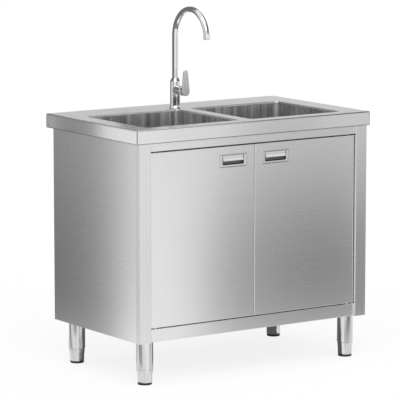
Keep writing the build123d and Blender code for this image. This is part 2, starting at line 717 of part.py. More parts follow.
with BuildPart() as aerator:
    outlet = [Plane(origin=arch_end + outlet_direction * reach, x_dir=(1, 0, 0), z_dir=outlet_direction)
              for reach in (0.2, aerator_overlap, aerator_length - 4)]
    with BuildSketch(outlet[0]):
        Circle(aerator_radius)
        Circle(spout_radius + hole_clearance, mode=Mode.SUBTRACT)
    extrude(amount=aerator_overlap - 0.2)
    with BuildSketch(outlet[1]):
        Circle(aerator_radius)
        Circle(spout_bore - 1, mode=Mode.SUBTRACT)
    extrude(amount=aerator_length - aerator_overlap)
    with BuildSketch(outlet[2]):
        Circle(spout_bore - 1)
        with PolarLocations(4.5, 6):
            Circle(1.2, mode=Mode.SUBTRACT)
    extrude(amount=2)
aerator.part.label = "aerator"
export_step(aerator.part, "parts/aerator.step")

with BuildPart() as cartridge:
    boss_turned([(0, cartridge_start), (cartridge_radius, cartridge_start),
                 (cartridge_radius, cartridge_end), (0, cartridge_end)])
    boss_turned([(0, carrier_start - foot_gap), (carrier_radius + running_clearance, carrier_start - foot_gap),
                 (carrier_radius + running_clearance, cartridge_end), (0, cartridge_end)], Mode.SUBTRACT)
cartridge.part.label = "cartridge"
export_step(cartridge.part, "parts/cartridge.step")

# domed cap that holds the cartridge in the boss and that the lever's dish moves over
with BuildPart() as cartridge_cap:
    with BuildSketch(Plane(origin=(tap_x, tap_y, boss_z), x_dir=(1, 0, 0), z_dir=(0, 0, 1))):
        with BuildLine():
            rim_low = cap_hole
            dome_edge = (cap_radius ** 2 - (cap_end - tilt_reach) ** 2) ** 0.5
            dome_half = ((cap_radius + dome_edge) / 2, (cap_end - tilt_reach) / 2)
            scale = cap_radius / (dome_half[0] ** 2 + dome_half[1] ** 2) ** 0.5
            dome = ThreePointArc((cap_radius, -tilt_reach),
                                 (dome_half[0] * scale, -tilt_reach - dome_half[1] * scale),
                                 (dome_edge, -cap_end))
            Polyline(dome @ 1, (cap_hole, -cap_end), (cap_hole, -cartridge_end),
                     (cartridge_radius, -cartridge_end), (cartridge_radius, -boss_reach),
                     (cap_radius, -boss_reach), dome @ 0)
        make_face()
    revolve(axis=Axis((tap_x, tap_y, boss_z), (0, 1, 0)))
cartridge_cap.part.label = "cartridge_cap"
export_step(cartridge_cap.part, "parts/cartridge_cap.step")

# the carrier turns in the cartridge and holds the lever's stem between two ears
with BuildPart() as mixer_carrier:
    boss_turned([(0, carrier_start), (carrier_radius, carrier_start), (carrier_radius, fork_reach),
                 (0, fork_reach)])
    block((tap_x - tongue_width / 2 - running_clearance, tap_x + tongue_width / 2 + running_clearance),
          (tap_y - fork_reach, tap_y - cartridge_end + 1), (boss_z - carrier_radius, boss_z + carrier_radius),
          Mode.SUBTRACT)
    with BuildSketch(Plane.YZ.offset(tap_x)):
        with Locations((tilt_y, boss_z)):
            Circle(cross_pin_radius + running_clearance)
    extrude(amount=carrier_radius, both=True, mode=Mode.SUBTRACT)
mixer_carrier.part.label = "mixer_carrier"
export_step(mixer_carrier.part, "parts/mixer_carrier.step")

with BuildPart() as lever_stem:
    stem_end = lever_front - lever_plate + socket_depth
    with BuildSketch(Plane.YZ.offset(tap_x)):
        with Locations((tilt_y, boss_z)):
            Circle(cross_pin_radius + 1.2)
            Rectangle(stem_end - tilt_reach, 2 * cross_pin_radius + 1.2, align=(Align.MAX, Align.CENTER))
    extrude(amount=tongue_width / 2, both=True)
    with BuildSketch(Plane.YZ.offset(tap_x)):
        with Locations((tilt_y, boss_z)):
            Circle(cross_pin_radius)
    extrude(amount=cross_pin_length / 2, both=True)
lever_stem.part.label = "lever_stem"
export_step(lever_stem.part, "parts/lever_stem.step")

# paddle lever: a round hub with a dish behind it and a flat blade that tapers upwards
with BuildPart() as tap_lever:
    with BuildSketch(Plane.XZ.offset(-tap_y + lever_front - lever_plate)):
        with Locations((tap_x, boss_z)):
            Circle(lever_disc)
        with Locations((tap_x, boss_z + lever_height)):
            Circle(lever_tip)
        make_hull()
    extrude(amount=lever_plate)
    fillet(edges_at(tap_lever, Axis.Y, tap_y - lever_front), lever_plate / 3)
    fillet(edges_at(tap_lever, Axis.Y, tap_y - lever_front + lever_plate), lever_plate / 6)
    with BuildSketch(Plane.XZ.offset(-tap_y + lever_back)):
        with Locations((tap_x, boss_z)):
            Circle(lever_disc)
    extrude(amount=lever_front - lever_plate / 2 - lever_back)
    with Locations((tap_x, tilt_y, boss_z)):
        Sphere(lever_dish, mode=Mode.SUBTRACT)
    block((tap_x - tongue_width / 2 - hole_clearance, tap_x + tongue_width / 2 + hole_clearance),
          (tap_y - stem_end - hole_clearance, tap_y - tilt_reach),
          (boss_z - cross_pin_radius - 0.6 - hole_clearance, boss_z + cross_pin_radius + 0.6 + hole_clearance),
          Mode.SUBTRACT)
tap_lever.part.label = "tap_lever"
export_step(tap_lever.part, "parts/tap_lever.step")

# below the worktop: threaded shank, back nut with its washer, two rigid supply tails
with BuildPart() as tap_shank:
    with BuildSketch(Plane.XY.offset(tap_z)):
        with Locations((tap_x, tap_y)):
            Circle(shank_radius)
            Circle(shank_bore, mode=Mode.SUBTRACT)
    extrude(amount=-shank_length)
tap_shank.part.label = "tap_shank"
export_step(tap_shank.part, "parts/tap_shank.step")

with BuildPart() as tap_back_nut:
    with BuildSketch(Plane.XY.offset(top_under)):
        with Locations((tap_x, tap_y)):
            Circle(back_nut_radius)
            Circle(shank_radius + hole_clearance, mode=Mode.SUBTRACT)
    extrude(amount=-gasket_thickness)
    with BuildSketch(Plane.XY.offset(top_under - gasket_thickness)):
        with Locations((tap_x, tap_y)):
            RegularPolygon(back_nut_radius - 2, 6, major_radius=True)
            Circle(shank_radius + hole_clearance, mode=Mode.SUBTRACT)
    extrude(amount=-back_nut_height)
tap_back_nut.part.label = "tap_back_nut"
export_step(tap_back_nut.part, "parts/tap_back_nut.step")

with BuildPart() as supply_tails:
    tail_drop = top_under - shank_length - 20
    for side in (-1, 1):
        start_x = tap_x + side * tail_start
        end_x = tap_x + side * tail_spread
        with BuildLine() as tail_path:
            FilletPolyline((start_x, tap_y, tap_z), (start_x, tap_y, tail_drop),
                           (end_x, tap_y, tail_drop - 60), (end_x, tap_y, tail_end), radius=40)
        with BuildSketch(Plane.XY.offset(tap_z)):
            with Locations((start_x, tap_y)):
                Circle(tail_radius)
                Circle(tail_radius - 1, mode=Mode.SUBTRACT)
        sweep(path=tail_path.line)
        with BuildSketch(Plane.XY.offset(tail_end)):
            with Locations((end_x, tap_y)):
                RegularPolygon(tail_hex / 2, 6, major_radius=False)
                Circle(tail_radius - 1, mode=Mode.SUBTRACT)
        extrude(amount=-tail_hex_height)
        with BuildSketch(Plane.XY.offset(tail_end - tail_hex_height)):
            with Locations((end_x, tap_y)):
                Circle(tail_nipple_radius)
                Circle(tail_radius - 1, mode=Mode.SUBTRACT)
        extrude(amount=-tail_nipple)
supply_tails.part.label = "supply_tails"
export_step(supply_tails.part, "parts/supply_tails.step")

# ---------------------------------------------------------------- wastes
cup_bottom = bowl_floor - cup_drop
for side, place_x in bowl_places.items():
    waste_origin = (place_x, bowl_y, 0)
    with BuildPart() as strainer_body:
        turned([(waste_cup - waste_wall, bowl_floor + waste_flange_thickness),
                (waste_flange - 4, bowl_floor + waste_flange_thickness),
                (waste_flange, bowl_floor), (waste_cup, bowl_floor), (waste_cup, cup_bottom),
                (spigot_radius, cup_bottom), (spigot_radius, spigot_end),
                (spigot_radius - waste_wall, spigot_end), (spigot_radius - waste_wall, cup_bottom + waste_wall),
                (waste_cup - waste_wall, cup_bottom + waste_wall)], origin=waste_origin)
    strainer_body.part.label = f"strainer_body_{side}"
    export_step(strainer_body.part, f"parts/strainer_body_{side}.step")

    # lift-out basket: perforated cup with a rim that rests on the flange, a stem and a knob
    with BuildPart() as basket:
        rim_z = bowl_floor + waste_flange_thickness
        basket_floor = rim_z - basket_drop
        turned([(0, basket_floor), (basket_radius - 4, basket_floor), (basket_radius, basket_floor + 6),
                (basket_radius, rim_z), (basket_rim, rim_z), (basket_rim, rim_z + basket_sheet),
                (basket_radius - basket_sheet, rim_z + basket_sheet),
                (basket_radius - basket_sheet, basket_floor + 6 + basket_sheet / 2),
                (basket_radius - 4 - basket_sheet / 2, basket_floor + basket_sheet),
                (basket_stem, basket_floor + basket_sheet), (basket_stem, rim_z),
                (basket_knob, rim_z + 2), (basket_knob, rim_z + 8), (0, rim_z + 9)],
               origin=waste_origin)
        with BuildSketch(Plane.XY.offset(basket_floor)):
            with Locations((place_x, bowl_y)):
                for ring_radius, count in ((12, 6), (24, 10)):
                    with PolarLocations(ring_radius, count):
                        Circle(3)
        extrude(amount=basket_sheet, mode=Mode.SUBTRACT)
    basket.part.label = f"basket_{side}"
    export_step(basket.part, f"parts/basket_{side}.step")

under_bowl = bowl_floor - bowl_sheet
with BuildPart() as strainer_gaskets:
    with BuildSketch(Plane.XY.offset(under_bowl)):
        with Locations(*[(x, bowl_y) for x in bowl_places.values()]):
            Circle(waste_flange)
            Circle(waste_cup + hole_clearance, mode=Mode.SUBTRACT)
    extrude(amount=-gasket_thickness)
strainer_gaskets.part.label = "strainer_gaskets"
export_step(strainer_gaskets.part, "parts/strainer_gaskets.step")

with BuildPart() as strainer_nuts:
    with BuildSketch(Plane.XY.offset(under_bowl - gasket_thickness)):
        with Locations(*[(x, bowl_y) for x in bowl_places.values()]):
            RegularPolygon(lock_nut_radius, 12)
            Circle(waste_cup + hole_clearance, mode=Mode.SUBTRACT)
    extrude(amount=-lock_nut_height)
strainer_nuts.part.label = "strainer_nuts"
export_step(strainer_nuts.part, "parts/strainer_nuts.step")

# one elbow pipe from each strainer to the tee, and the short drop from the tee to the trap
with BuildPart() as waste_pipes:
    tee_bore = pipe_radius - pipe_wall
    for tee_outside, mode in ((tee_radius, Mode.ADD), (tee_bore, Mode.SUBTRACT)):
        with BuildSketch(Plane.YZ.offset(divider_x - tee_length / 2)):
            with Locations((bowl_y, manifold_z)):
                Circle(tee_outside)
        extrude(amount=tee_length, mode=mode)
        with BuildSketch(Plane.XY.offset(trap_top)):
            with Locations((divider_x, bowl_y)):
                Circle(tee_outside - tee_step)
        extrude(amount=manifold_z - trap_top, mode=mode)
    for side in (-1, 1):
        with BuildSketch(Plane.YZ.offset(divider_x + side * (tee_length / 2 - tee_socket))):
            with Locations((bowl_y, manifold_z)):
                Circle(pipe_radius + hole_clearance)
                Circle(tee_bore, mode=Mode.SUBTRACT)
        extrude(amount=side * tee_socket, mode=Mode.SUBTRACT)
    for place_x, side in ((bowl_left_x, -1), (bowl_right_x, 1)):
        pipe_x = divider_x + side * (tee_length / 2 - tee_socket + foot_gap)
        with BuildLine() as pipe_path:
            FilletPolyline((place_x, bowl_y, spigot_end), (place_x, bowl_y, manifold_z),
                           (pipe_x, bowl_y, manifold_z), radius=elbow_radius)
        with BuildSketch(Plane.XY.offset(spigot_end)):
            with Locations((place_x, bowl_y)):
                Circle(pipe_radius)
                Circle(pipe_radius - pipe_wall, mode=Mode.SUBTRACT)
        sweep(path=pipe_path.line)
waste_pipes.part.label = "waste_pipes"
export_step(waste_pipes.part, "parts/waste_pipes.step")

with BuildPart() as slip_nuts:
    for place_x in bowl_places.values():
        with BuildSketch(Plane.XY.offset(spigot_end + slip_nut_height / 2)):
            with Locations((place_x, bowl_y)):
                RegularPolygon(slip_nut_radius, 8)
                Circle(pipe_radius + hole_clearance, mode=Mode.SUBTRACT)
        extrude(amount=-slip_nut_height)
    for side in (-1, 1):
        with BuildSketch(Plane.YZ.offset(divider_x + side * tee_length / 2)):
            with Locations((bowl_y, manifold_z)):
                RegularPolygon(slip_nut_radius, 8)
                Circle(pipe_radius + hole_clearance, mode=Mode.SUBTRACT)
        extrude(amount=side * slip_nut_height)
    with BuildSketch(Plane.XY.offset(trap_top)):
        with Locations((divider_x, bowl_y)):
            RegularPolygon(slip_nut_radius, 8)
            Circle(tee_radius - tee_step + hole_clearance, mode=Mode.SUBTRACT)
    extrude(amount=slip_nut_height)
    with BuildSketch(Plane.XZ.offset(-bowl_y - socket_reach)):
        with Locations((divider_x, outlet_z)):
            RegularPolygon(slip_nut_radius, 8)
            Circle(pipe_radius + hole_clearance, mode=Mode.SUBTRACT)
    extrude(amount=-slip_nut_height)
slip_nuts.part.label = "slip_nuts"
export_step(slip_nuts.part, "parts/slip_nuts.step")

# bottle trap with a screwed base and a socket that the outlet pipe is pushed into
with BuildPart() as trap:
    turned([(0, trap_bottom), (trap_radius - 4, trap_bottom), (trap_radius + 3, trap_bottom + 4),
            (trap_radius + 3, trap_bottom + 24), (trap_radius, trap_bottom + 24),
            (trap_radius, trap_top - 12), (slip_nut_radius, trap_top), (0, trap_top)],
           origin=(divider_x, bowl_y, 0))
    with BuildSketch(Plane.XZ.offset(-bowl_y)):
        with Locations((divider_x, outlet_z)):
            Circle(pipe_radius + socket_wall)
    extrude(amount=-socket_reach)
    turned([(0, trap_bottom + trap_wall), (trap_radius - trap_wall, trap_bottom + trap_wall + 4),
            (trap_radius - trap_wall, trap_top - 14), (slip_nut_radius - trap_wall - 2, trap_top - trap_wall),
            (0, trap_top - trap_wall)], origin=(divider_x, bowl_y, 0), mode=Mode.SUBTRACT)
    with BuildSketch(Plane.XY.offset(trap_top)):
        with Locations((divider_x, bowl_y)):
            Circle(tee_bore - tee_step)
    extrude(amount=-2 * trap_wall, mode=Mode.SUBTRACT)
    with BuildSketch(Plane.XZ.offset(-bowl_y)):
        with Locations((divider_x, outlet_z)):
            Circle(pipe_radius + hole_clearance)
    extrude(amount=-socket_reach, mode=Mode.SUBTRACT)
    with BuildSketch(Plane.XZ.offset(-outlet_end)):
        with Locations((divider_x, outlet_z)):
            Circle(pipe_radius)
            Circle(pipe_radius - pipe_wall, mode=Mode.SUBTRACT)
    extrude(amount=outlet_end - bowl_y - trap_radius)
    chamfer(edges_at(trap, Axis.Y, outlet_end).sort_by(SortBy.RADIUS)[-1], outlet_chamfer)
    with BuildSketch(Plane.XZ.offset(outlet_spigot - outlet_end)):
        with Locations((divider_x, outlet_z)):
            Circle(stop_radius)
            Circle(pipe_radius - pipe_wall, mode=Mode.SUBTRACT)
    extrude(amount=stop_width)
trap.part.label = "trap"
export_step(trap.part, "parts/trap.step")
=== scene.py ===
# %% [markdown]
# # A stainless-steel sink unit
# The real object is almost all folded sheet: a worktop with two welded bowls on a cabinet with two
# doors, four tube legs with screw feet, and a chrome gooseneck mixer. The measured model comes first,
# as a frame; the pieces below dress it and stay inside its box.

import json
from math import atan2, cos, degrees, exp, hypot, pi, radians, sin

import bmesh
import bpy
from mathutils import Matrix, Vector


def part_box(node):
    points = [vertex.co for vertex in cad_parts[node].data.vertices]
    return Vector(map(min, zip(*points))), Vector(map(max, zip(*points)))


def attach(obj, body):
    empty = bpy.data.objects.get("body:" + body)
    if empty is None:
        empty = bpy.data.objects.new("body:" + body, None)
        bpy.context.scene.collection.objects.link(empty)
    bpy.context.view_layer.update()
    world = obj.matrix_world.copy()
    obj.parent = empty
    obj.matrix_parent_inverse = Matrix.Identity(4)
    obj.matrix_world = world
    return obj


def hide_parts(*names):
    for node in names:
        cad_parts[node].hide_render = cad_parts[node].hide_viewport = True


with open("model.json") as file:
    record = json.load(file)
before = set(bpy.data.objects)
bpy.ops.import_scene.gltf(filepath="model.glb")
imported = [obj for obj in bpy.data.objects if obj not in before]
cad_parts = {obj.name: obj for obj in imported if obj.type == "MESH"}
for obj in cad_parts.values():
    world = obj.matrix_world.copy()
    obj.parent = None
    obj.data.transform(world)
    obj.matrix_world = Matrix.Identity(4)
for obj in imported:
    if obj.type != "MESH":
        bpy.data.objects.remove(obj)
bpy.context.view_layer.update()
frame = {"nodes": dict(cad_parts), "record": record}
scene = bpy.context.scene
MM = 0.001

# %% [markdown]
# ## Camera
# The photograph was taken from the front left, about ten metres away with a long lens, a little above
# the worktop. The numbers come from a fit to the corners and edges seen in it. A camera can be aimed
# with a constraint or by its matrix; the matrix holds the fitted directions exactly.

# %% Place the camera
view_azimuth, view_elevation = radians(-34.158), radians(8.668)
view_distance, focal_pixels, frame_pixels = 10.339, 2863.7, 400
look_right, look_height = -0.0307, 0.5810
back = Vector((sin(view_azimuth) * cos(view_elevation), -cos(view_azimuth) * cos(view_elevation),
               sin(view_elevation)))
right = Vector((cos(view_azimuth), sin(view_azimuth), 0))
up = back.cross(right)
target = right * look_right + Vector((0, 0, look_height))
camera = bpy.data.objects.new("camera", bpy.data.cameras.new("camera"))
camera.data.sensor_width = 36
camera.data.lens = focal_pixels / frame_pixels * camera.data.sensor_width
camera.data.clip_end = 200
turn = Matrix((right, up, back)).transposed().to_4x4()
camera.matrix_world = Matrix.Translation(target + back * view_distance) @ turn
scene.collection.objects.link(camera)
scene.camera = camera
print("lens", round(camera.data.lens, 1), "mm at", [round(v, 2) for v in camera.location])

# %% [markdown]
# ## Helpers for meshes
# Three ways of making a shape return again and again: turning a profile about an axis, joining rings
# of points into a skin, and filling the flat between rings. All of them take millimetres. Round parts
# are shaded smooth, and every long straight stretch gets a ring close to each end, so that the shading
# of a bend doesn't run across the flat beside it.

# %% Points, profiles and outlines
def mm(x, y, z):
    """A point given in millimetres."""
    return Vector((x, y, z)) * MM


def box(node_name):
    """The lowest and the highest corner of a CAD node, in millimetres."""
    low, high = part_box(node_name)
    return low / MM, high / MM


def centre_of(node_name):
    """The middle of a CAD node's box, in millimetres."""
    low, high = box(node_name)
    return (low + high) / 2


def circle(radius, count, centre=(0, 0)):
    """Points round a circle in two dimensions."""
    return [(centre[0] + radius * cos(2 * pi * i / count), centre[1] + radius * sin(2 * pi * i / count))
            for i in range(count)]


def arc(centre, radius, start, end, steps=5):
    """Points on an arc in two dimensions, angles in degrees."""
    angles = [radians(start + (end - start) * i / steps) for i in range(steps + 1)]
    return [(centre[0] + radius * cos(a), centre[1] + radius * sin(a)) for a in angles]


def rounded_rectangle(centre, size, corner, steps=6):
    """Points round a rectangle with rounded corners, in two dimensions."""
    points = []
    for sx, sy, start in ((1, 1, 0), (-1, 1, 90), (-1, -1, 180), (1, -1, 270)):
        middle = (centre[0] + sx * (size[0] / 2 - corner), centre[1] + sy * (size[1] / 2 - corner))
        points += arc(middle, corner, start, start + 90, steps)
    return points


def level_ring(outline, height):
    """A two-dimensional outline as points at one height."""
    return [mm(x, y, height) for x, y in outline]


def shifted(radius, height, *points):
    """Profile points that are counted from a radius and a height."""
    return [(radius + r, height + h) for r, h in points]


def at(height, *points):
    """Profile points whose heights are counted from a base."""
    return shifted(0, height, *points)


def with_holds(profile):
    """Adds a point close to both ends of each long straight stretch of a profile."""
    reach, longest = 0.5, 3.0
    held = [profile[0]]
    for start, end in zip(profile, profile[1:]):
        length = hypot(end[0] - start[0], end[1] - start[1])
        if length > longest:
            step = reach / length
            held += [(start[0] + (end[0] - start[0]) * share, start[1] + (end[1] - start[1]) * share)
                     for share in (step, 1 - step)]
        held.append(end)
    return held


# %% Meshes and pieces
def finished(bm):
    """The mesh of an edit mesh, which is freed."""
    mesh = bpy.data.meshes.new("mesh")
    bm.to_mesh(mesh)
    bm.free()
    return mesh


def skin(rings, joined_ends=False, caps=None):
    """Joins rings of equally many points into one surface; a ring of one point closes it."""
    bm = bmesh.new()
    loops = [[bm.verts.new(point) for point in ring] for ring in rings]
    pairs = list(zip(loops, loops[1:]))
    if joined_ends:
        pairs.append((loops[-1], loops[0]))
    for low, high in pairs:
        count = max(len(low), len(high))
        for i in range(count):
            j = (i + 1) % count
            corners = [low[i % len(low)], low[j % len(low)], high[j % len(high)], high[i % len(high)]]
            face = list(dict.fromkeys(corners))
            if len(face) > 2:
                bm.faces.new(face)
    if caps == "both":
        bm.faces.new(reversed(loops[0]))
    if caps:
        bm.faces.new(loops[-1])
    bmesh.ops.recalc_face_normals(bm, faces=bm.faces)
    return finished(bm)


def filled(rings):
    """The flat inside the first ring and outside the others."""
    bm = bmesh.new()
    for ring in rings:
        loop = [bm.verts.new(point) for point in ring]
        for start, end in zip(loop, loop[1:] + loop[:1]):
            bm.edges.new((start, end))
    bmesh.ops.triangle_fill(bm, use_beauty=True, edges=bm.edges)
    return finished(bm)


def smooth(mesh, angle=38):
    """Smooth shading that keeps edges sharper than the angle."""
    mesh.shade_smooth()
    mesh.set_sharp_from_angle(angle=radians(angle))
    return mesh


def facing(mesh, direction):
    """Turns a mesh round if its first face looks away from a direction."""
    if mesh.polygons[0].normal.dot(Vector(direction)) < 0:
        mesh.flip_normals()
    return mesh


def lathe(profile, centre=(0, 0, 0), axis="Z", segments=72, joined_ends=False, hold=True):
    """Turns (radius, height) points about an axis through a centre."""
    order = {"Z": (0, 1, 2), "Y": (0, 2, 1), "X": (2, 0, 1)}[axis]
    rings = []
    for radius, height in with_holds(profile) if hold else profile:
        around = [(a, b, height) for a, b in circle(radius, 1 if radius < 1e-6 else segments)]
        rings.append([mm(*(point[order[k]] + centre[k] for k in range(3))) for point in around])
    return smooth(skin(rings, joined_ends))


def join_meshes(meshes, weld=0):
    """One mesh from several; weld closes the gaps between skins that share an edge."""
    bm = bmesh.new()
    for mesh in meshes:
        bm.from_mesh(mesh)
    if weld:
        bmesh.ops.remove_doubles(bm, verts=bm.verts, dist=weld)
        bmesh.ops.recalc_face_normals(bm, faces=bm.faces)
    return finished(bm)


def placed(mesh, spot, angle=0, axis="Z"):
    """A copy of a mesh, turned about an axis through the origin and then moved to a spot."""
    copy = mesh.copy()
    copy.transform(Matrix.Translation(mm(*spot)) @ Matrix.Rotation(angle, 4, axis))
    return copy


def thicken(piece, thickness):
    """Gives a skin the thickness of its sheet, inwards."""
    modifier = piece.modifiers.new("sheet", "SOLIDIFY")
    modifier.thickness = thickness * MM
    modifier.offset = -1


def add_piece(piece_name, mesh, slot, body="cabinet", stands_for=None, finish=None, angle=40):
    """Puts a mesh, or several joined and smoothed, in the scene as a piece that rides on a body."""
    if isinstance(mesh, list):
        mesh = smooth(join_meshes(mesh), angle)
    mesh.materials.clear()
    mesh.materials.append(finish or finish_of_slot[slot])
    mesh.name = piece_name
    piece = bpy.data.objects.new(piece_name, mesh)
    scene.collection.objects.link(piece)
    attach(piece, body)
    if stands_for:
        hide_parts(stands_for)
    print(f"{piece_name}: {len(mesh.polygons)} faces on {body}")
    return piece


# %% [markdown]
# ## Finishes
# Nearly everything is one metal with two finishes. The sheet has a brushed grain that lies flat on
# every upright face and along the front on the worktop, so its highlights are drawn out across the
# grain. The tubes and the mixer are polished. The grain could be an image; noise that is squeezed along
# one direction does the same at any size and has no seams. Its direction follows the face's normal, so
# one material serves the whole cabinet.

# %% Node helpers
def node(tree, kind, inputs=None, **settings):
    """Adds a node; an input is a value, a socket, or a node whose first output it takes."""
    made = tree.nodes.new(kind)
    for key, value in settings.items():
        setattr(made, key, value)
    for key, value in (inputs or {}).items():
        if isinstance(value, bpy.types.Node):
            value = value.outputs[0]
        if isinstance(value, bpy.types.NodeSocket):
            tree.links.new(value, made.inputs[key])
        else:
            made.inputs[key].default_value = value
    return made


def maths(tree, operation, first, second=0.0):
    """A Math node."""
    return node(tree, "ShaderNodeMath", {0: first, 1: second}, operation=operation)


def start_material(material_name):
    """A material with an empty tree."""
    material = bpy.data.materials.new(material_name)
    material.use_nodes = True
    tree = material.node_tree
    tree.nodes.clear()
    return material, tree


def shaded(material, kind, inputs):
    """Ends a material with a shader of a kind."""
    shader = node(material.node_tree, kind, inputs)
    node(material.node_tree, "ShaderNodeOutputMaterial", {"Surface": shader})
    return material


def noise(tree, vector, stretch=None, scale=1.0, detail=3.0):
    """Grey noise; stretch squeezes its coordinates with a Mapping node."""
    if stretch:
        vector = node(tree, "ShaderNodeMapping", {"Vector": vector, "Scale": stretch})
    return node(tree, "ShaderNodeTexNoise", {"Vector": vector, "Scale": scale, "Detail": detail})


def ranged(tree, value, low, high, from_low=0.3, from_high=0.7):
    """Maps a grey value to a range."""
    return node(tree, "ShaderNodeMapRange", {"Value": value, "From Min": from_low, "From Max": from_high,
                                             "To Min": low, "To Max": high})


def tinted(tree, value, dark, light):
    """A colour between two, by a grey value from 0 to 1."""
    mix = {"Factor": value, "A": dark, "B": light}
    return node(tree, "ShaderNodeMix", mix, data_type="RGBA").outputs["Result"]


def bumped(tree, height, strength, distance, **more):
    """A normal that follows a height."""
    inputs = {"Height": height, "Strength": strength, "Distance": distance, **more}
    return node(tree, "ShaderNodeBump", inputs)


# %% The brushed sheet
def weld_and_painted_shade_lines(tree, place, half_x, half_y, width, bottom, top):
    """1 on the weld bands at the corners, and on two lines of painted shade: a shadow along the skirt's lower
    edge and a dark reflection along the bend under the top.
    """
    parts = node(tree, "ShaderNodeSeparateXYZ", {"Vector": place}).outputs
    masks = [ranged(tree, maths(tree, "ABSOLUTE", parts[axis]), 0, 1, half - width, half - width * 0.4)
             for axis, half in (("X", half_x), ("Y", half_y))]
    # painted shadow along the skirt's lower edge
    hem_shadow = ranged(tree, parts["Z"], 1, 0, bottom + 0.0016, bottom + 0.0024)
    # painted dark reflection along the bend just below the top, on the skirt's faces
    below = ranged(tree, parts["Z"], 0.55, 0, top - 0.0022, top - 0.0014)
    above = ranged(tree, parts["Z"], 0, 1, top - 0.0046, top - 0.0040)
    bend = maths(tree, "MULTIPLY", maths(tree, "MULTIPLY", below, above), maths(tree, "MAXIMUM", *masks))
    return maths(tree, "MAXIMUM", maths(tree, "MAXIMUM", hem_shadow, bend), maths(tree, "MULTIPLY", *masks))


def brushed_sheet(material_name, light=0.785, dark=0.77, rough=(0.272, 0.278), wave=0.010, anisotropy=0.8,
                  upright=False, sideways=False, pitch=210, seams=None):
    """Brushed sheet; upright turns its grain, sideways its highlights, and seams adds the welds and two lines
    of painted shade.
    """
    material, tree = start_material(material_name)
    place = node(tree, "ShaderNodeTexCoord").outputs["Object"]
    normal = node(tree, "ShaderNodeNewGeometry").outputs["Normal"]
    height = node(tree, "ShaderNodeSeparateXYZ", {"Vector": normal}).outputs["Z"]
    level = maths(tree, "MULTIPLY", height, height)
    along, level_pitch = 0.7, 300
    stretch = (pitch, pitch, along) if upright else (along, along, pitch)
    grain = node(tree, "ShaderNodeMix", {
        "Factor": level, "A": noise(tree, place, stretch),
        "B": noise(tree, place, (along, level_pitch, along))}).outputs["Result"]
    dark, light = [(tone, tone, tone - 0.005, 1) for tone in (dark, light)]
    colour = tinted(tree, ranged(tree, grain, 0, 1), dark, light)
    cloud = ranged(tree, noise(tree, place, scale=5), -0.003, 0.004)
    if seams:
        # the dark colour marks the welds and paints shade along the skirt's lower edge and the top bend
        colour = tinted(tree, weld_and_painted_shade_lines(tree, place, *seams), colour, (0.30, 0.30, 0.29, 1))
    swell = bumped(tree, noise(tree, place, scale=2.2, detail=1), wave, 0.004)
    if sideways:
        across = node(tree, "ShaderNodeVectorMath", {0: normal, 1: (0, 0, 1)}, operation="CROSS_PRODUCT")
    else:
        across = node(tree, "ShaderNodeCombineXYZ", {"Y": level, "Z": maths(tree, "SUBTRACT", 1.0, level)})
    return shaded(material, "ShaderNodeBsdfPrincipled", {
        "Base Color": colour, "Metallic": 1.0, "Anisotropic": anisotropy, "Tangent": across,
        "Roughness": maths(tree, "ADD", ranged(tree, grain, *rough), cloud),
        "Normal": bumped(tree, grain, 0.004, 0.0002, Normal=swell)})


sheet_steel = brushed_sheet("brushed sheet")
post_steel = brushed_sheet("brushed post sheet", 0.76, 0.69, (0.22, 0.27), anisotropy=0.4, upright=True,
                           sideways=True, pitch=450)
low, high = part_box("worktop")
weld_width = 0.004
# the worktop's sheet has its corner welds and two lines of painted shade
worktop_steel = brushed_sheet("brushed worktop sheet", 0.77, 0.735,
                              seams=(high.x, high.y, weld_width, low.z, high.z))
bowl_steel = brushed_sheet("brushed bowl sheet", 0.84, 0.50, (0.18, 0.26), wave=0.05, anisotropy=0.85,
                           upright=True, pitch=75)
pull_steel = brushed_sheet("satin pull sheet", 0.74, 0.70, (0.14, 0.18), anisotropy=0.2)
# darker sheet for the groove round a pull: painted shade
groove_painted_shade_steel = brushed_sheet("groove sheet with painted shade", 0.46, 0.40, (0.34, 0.42), anisotropy=0.3)
# much darker sheet for a pull's pocket: painted shade
pocket_painted_shade_steel = brushed_sheet("pocket sheet with painted shade", 0.20, 0.15, (0.34, 0.42), anisotropy=0.3)
print("brushed sheets ready")

# %% [markdown]
# The other finishes are simpler: polished and chromed metal with very faint turning marks, where the
# polished tube's tone also follows its marks in dark vertical streaks of painted reflection; moulded
# plastic and rubber with a fine bump; zinc plate that varies a little in tone; brass and copper with
# darker spots where they have aged.

# %% Polished metal, plating, brass, plastics and rubber
def metal(material_name, light, dark, rough, marks=(200, 200, 200), bump=0.03, painted_reflection_streaks=False):
    """A metal with marks from stretched noise; its last flag lets its tone follow them too, which paints
    reflection streaks into the colour.
    """
    material, tree = start_material(material_name)
    place = node(tree, "ShaderNodeTexCoord").outputs["Object"]
    grain = noise(tree, place, marks)
    # with the flag set, the tone follows the vertical marks as painted reflection streaks
    tone = grain if painted_reflection_streaks else noise(tree, place, scale=30, detail=4)
    return shaded(material, "ShaderNodeBsdfPrincipled", {
        "Base Color": tinted(tree, ranged(tree, tone, 0, 1), (*dark, 1), (*light, 1)), "Metallic": 1.0,
        "Roughness": ranged(tree, grain, *rough), "Normal": bumped(tree, grain, bump, 0.0002)})


def moulded(material_name, light, dark, rough):
    """Moulded plastic or rubber: faint tone changes and a fine pebbled surface."""
    material, tree = start_material(material_name)
    place = node(tree, "ShaderNodeTexCoord").outputs["Object"]
    pebbles = noise(tree, place, scale=900, detail=2)
    cloud = noise(tree, place, scale=25)
    return shaded(material, "ShaderNodeBsdfPrincipled", {
        "Base Color": tinted(tree, ranged(tree, cloud, 0, 1), (*dark, 1), (*light, 1)),
        "Roughness": ranged(tree, cloud, *rough), "Normal": bumped(tree, pebbles, 0.15, 0.0003)})


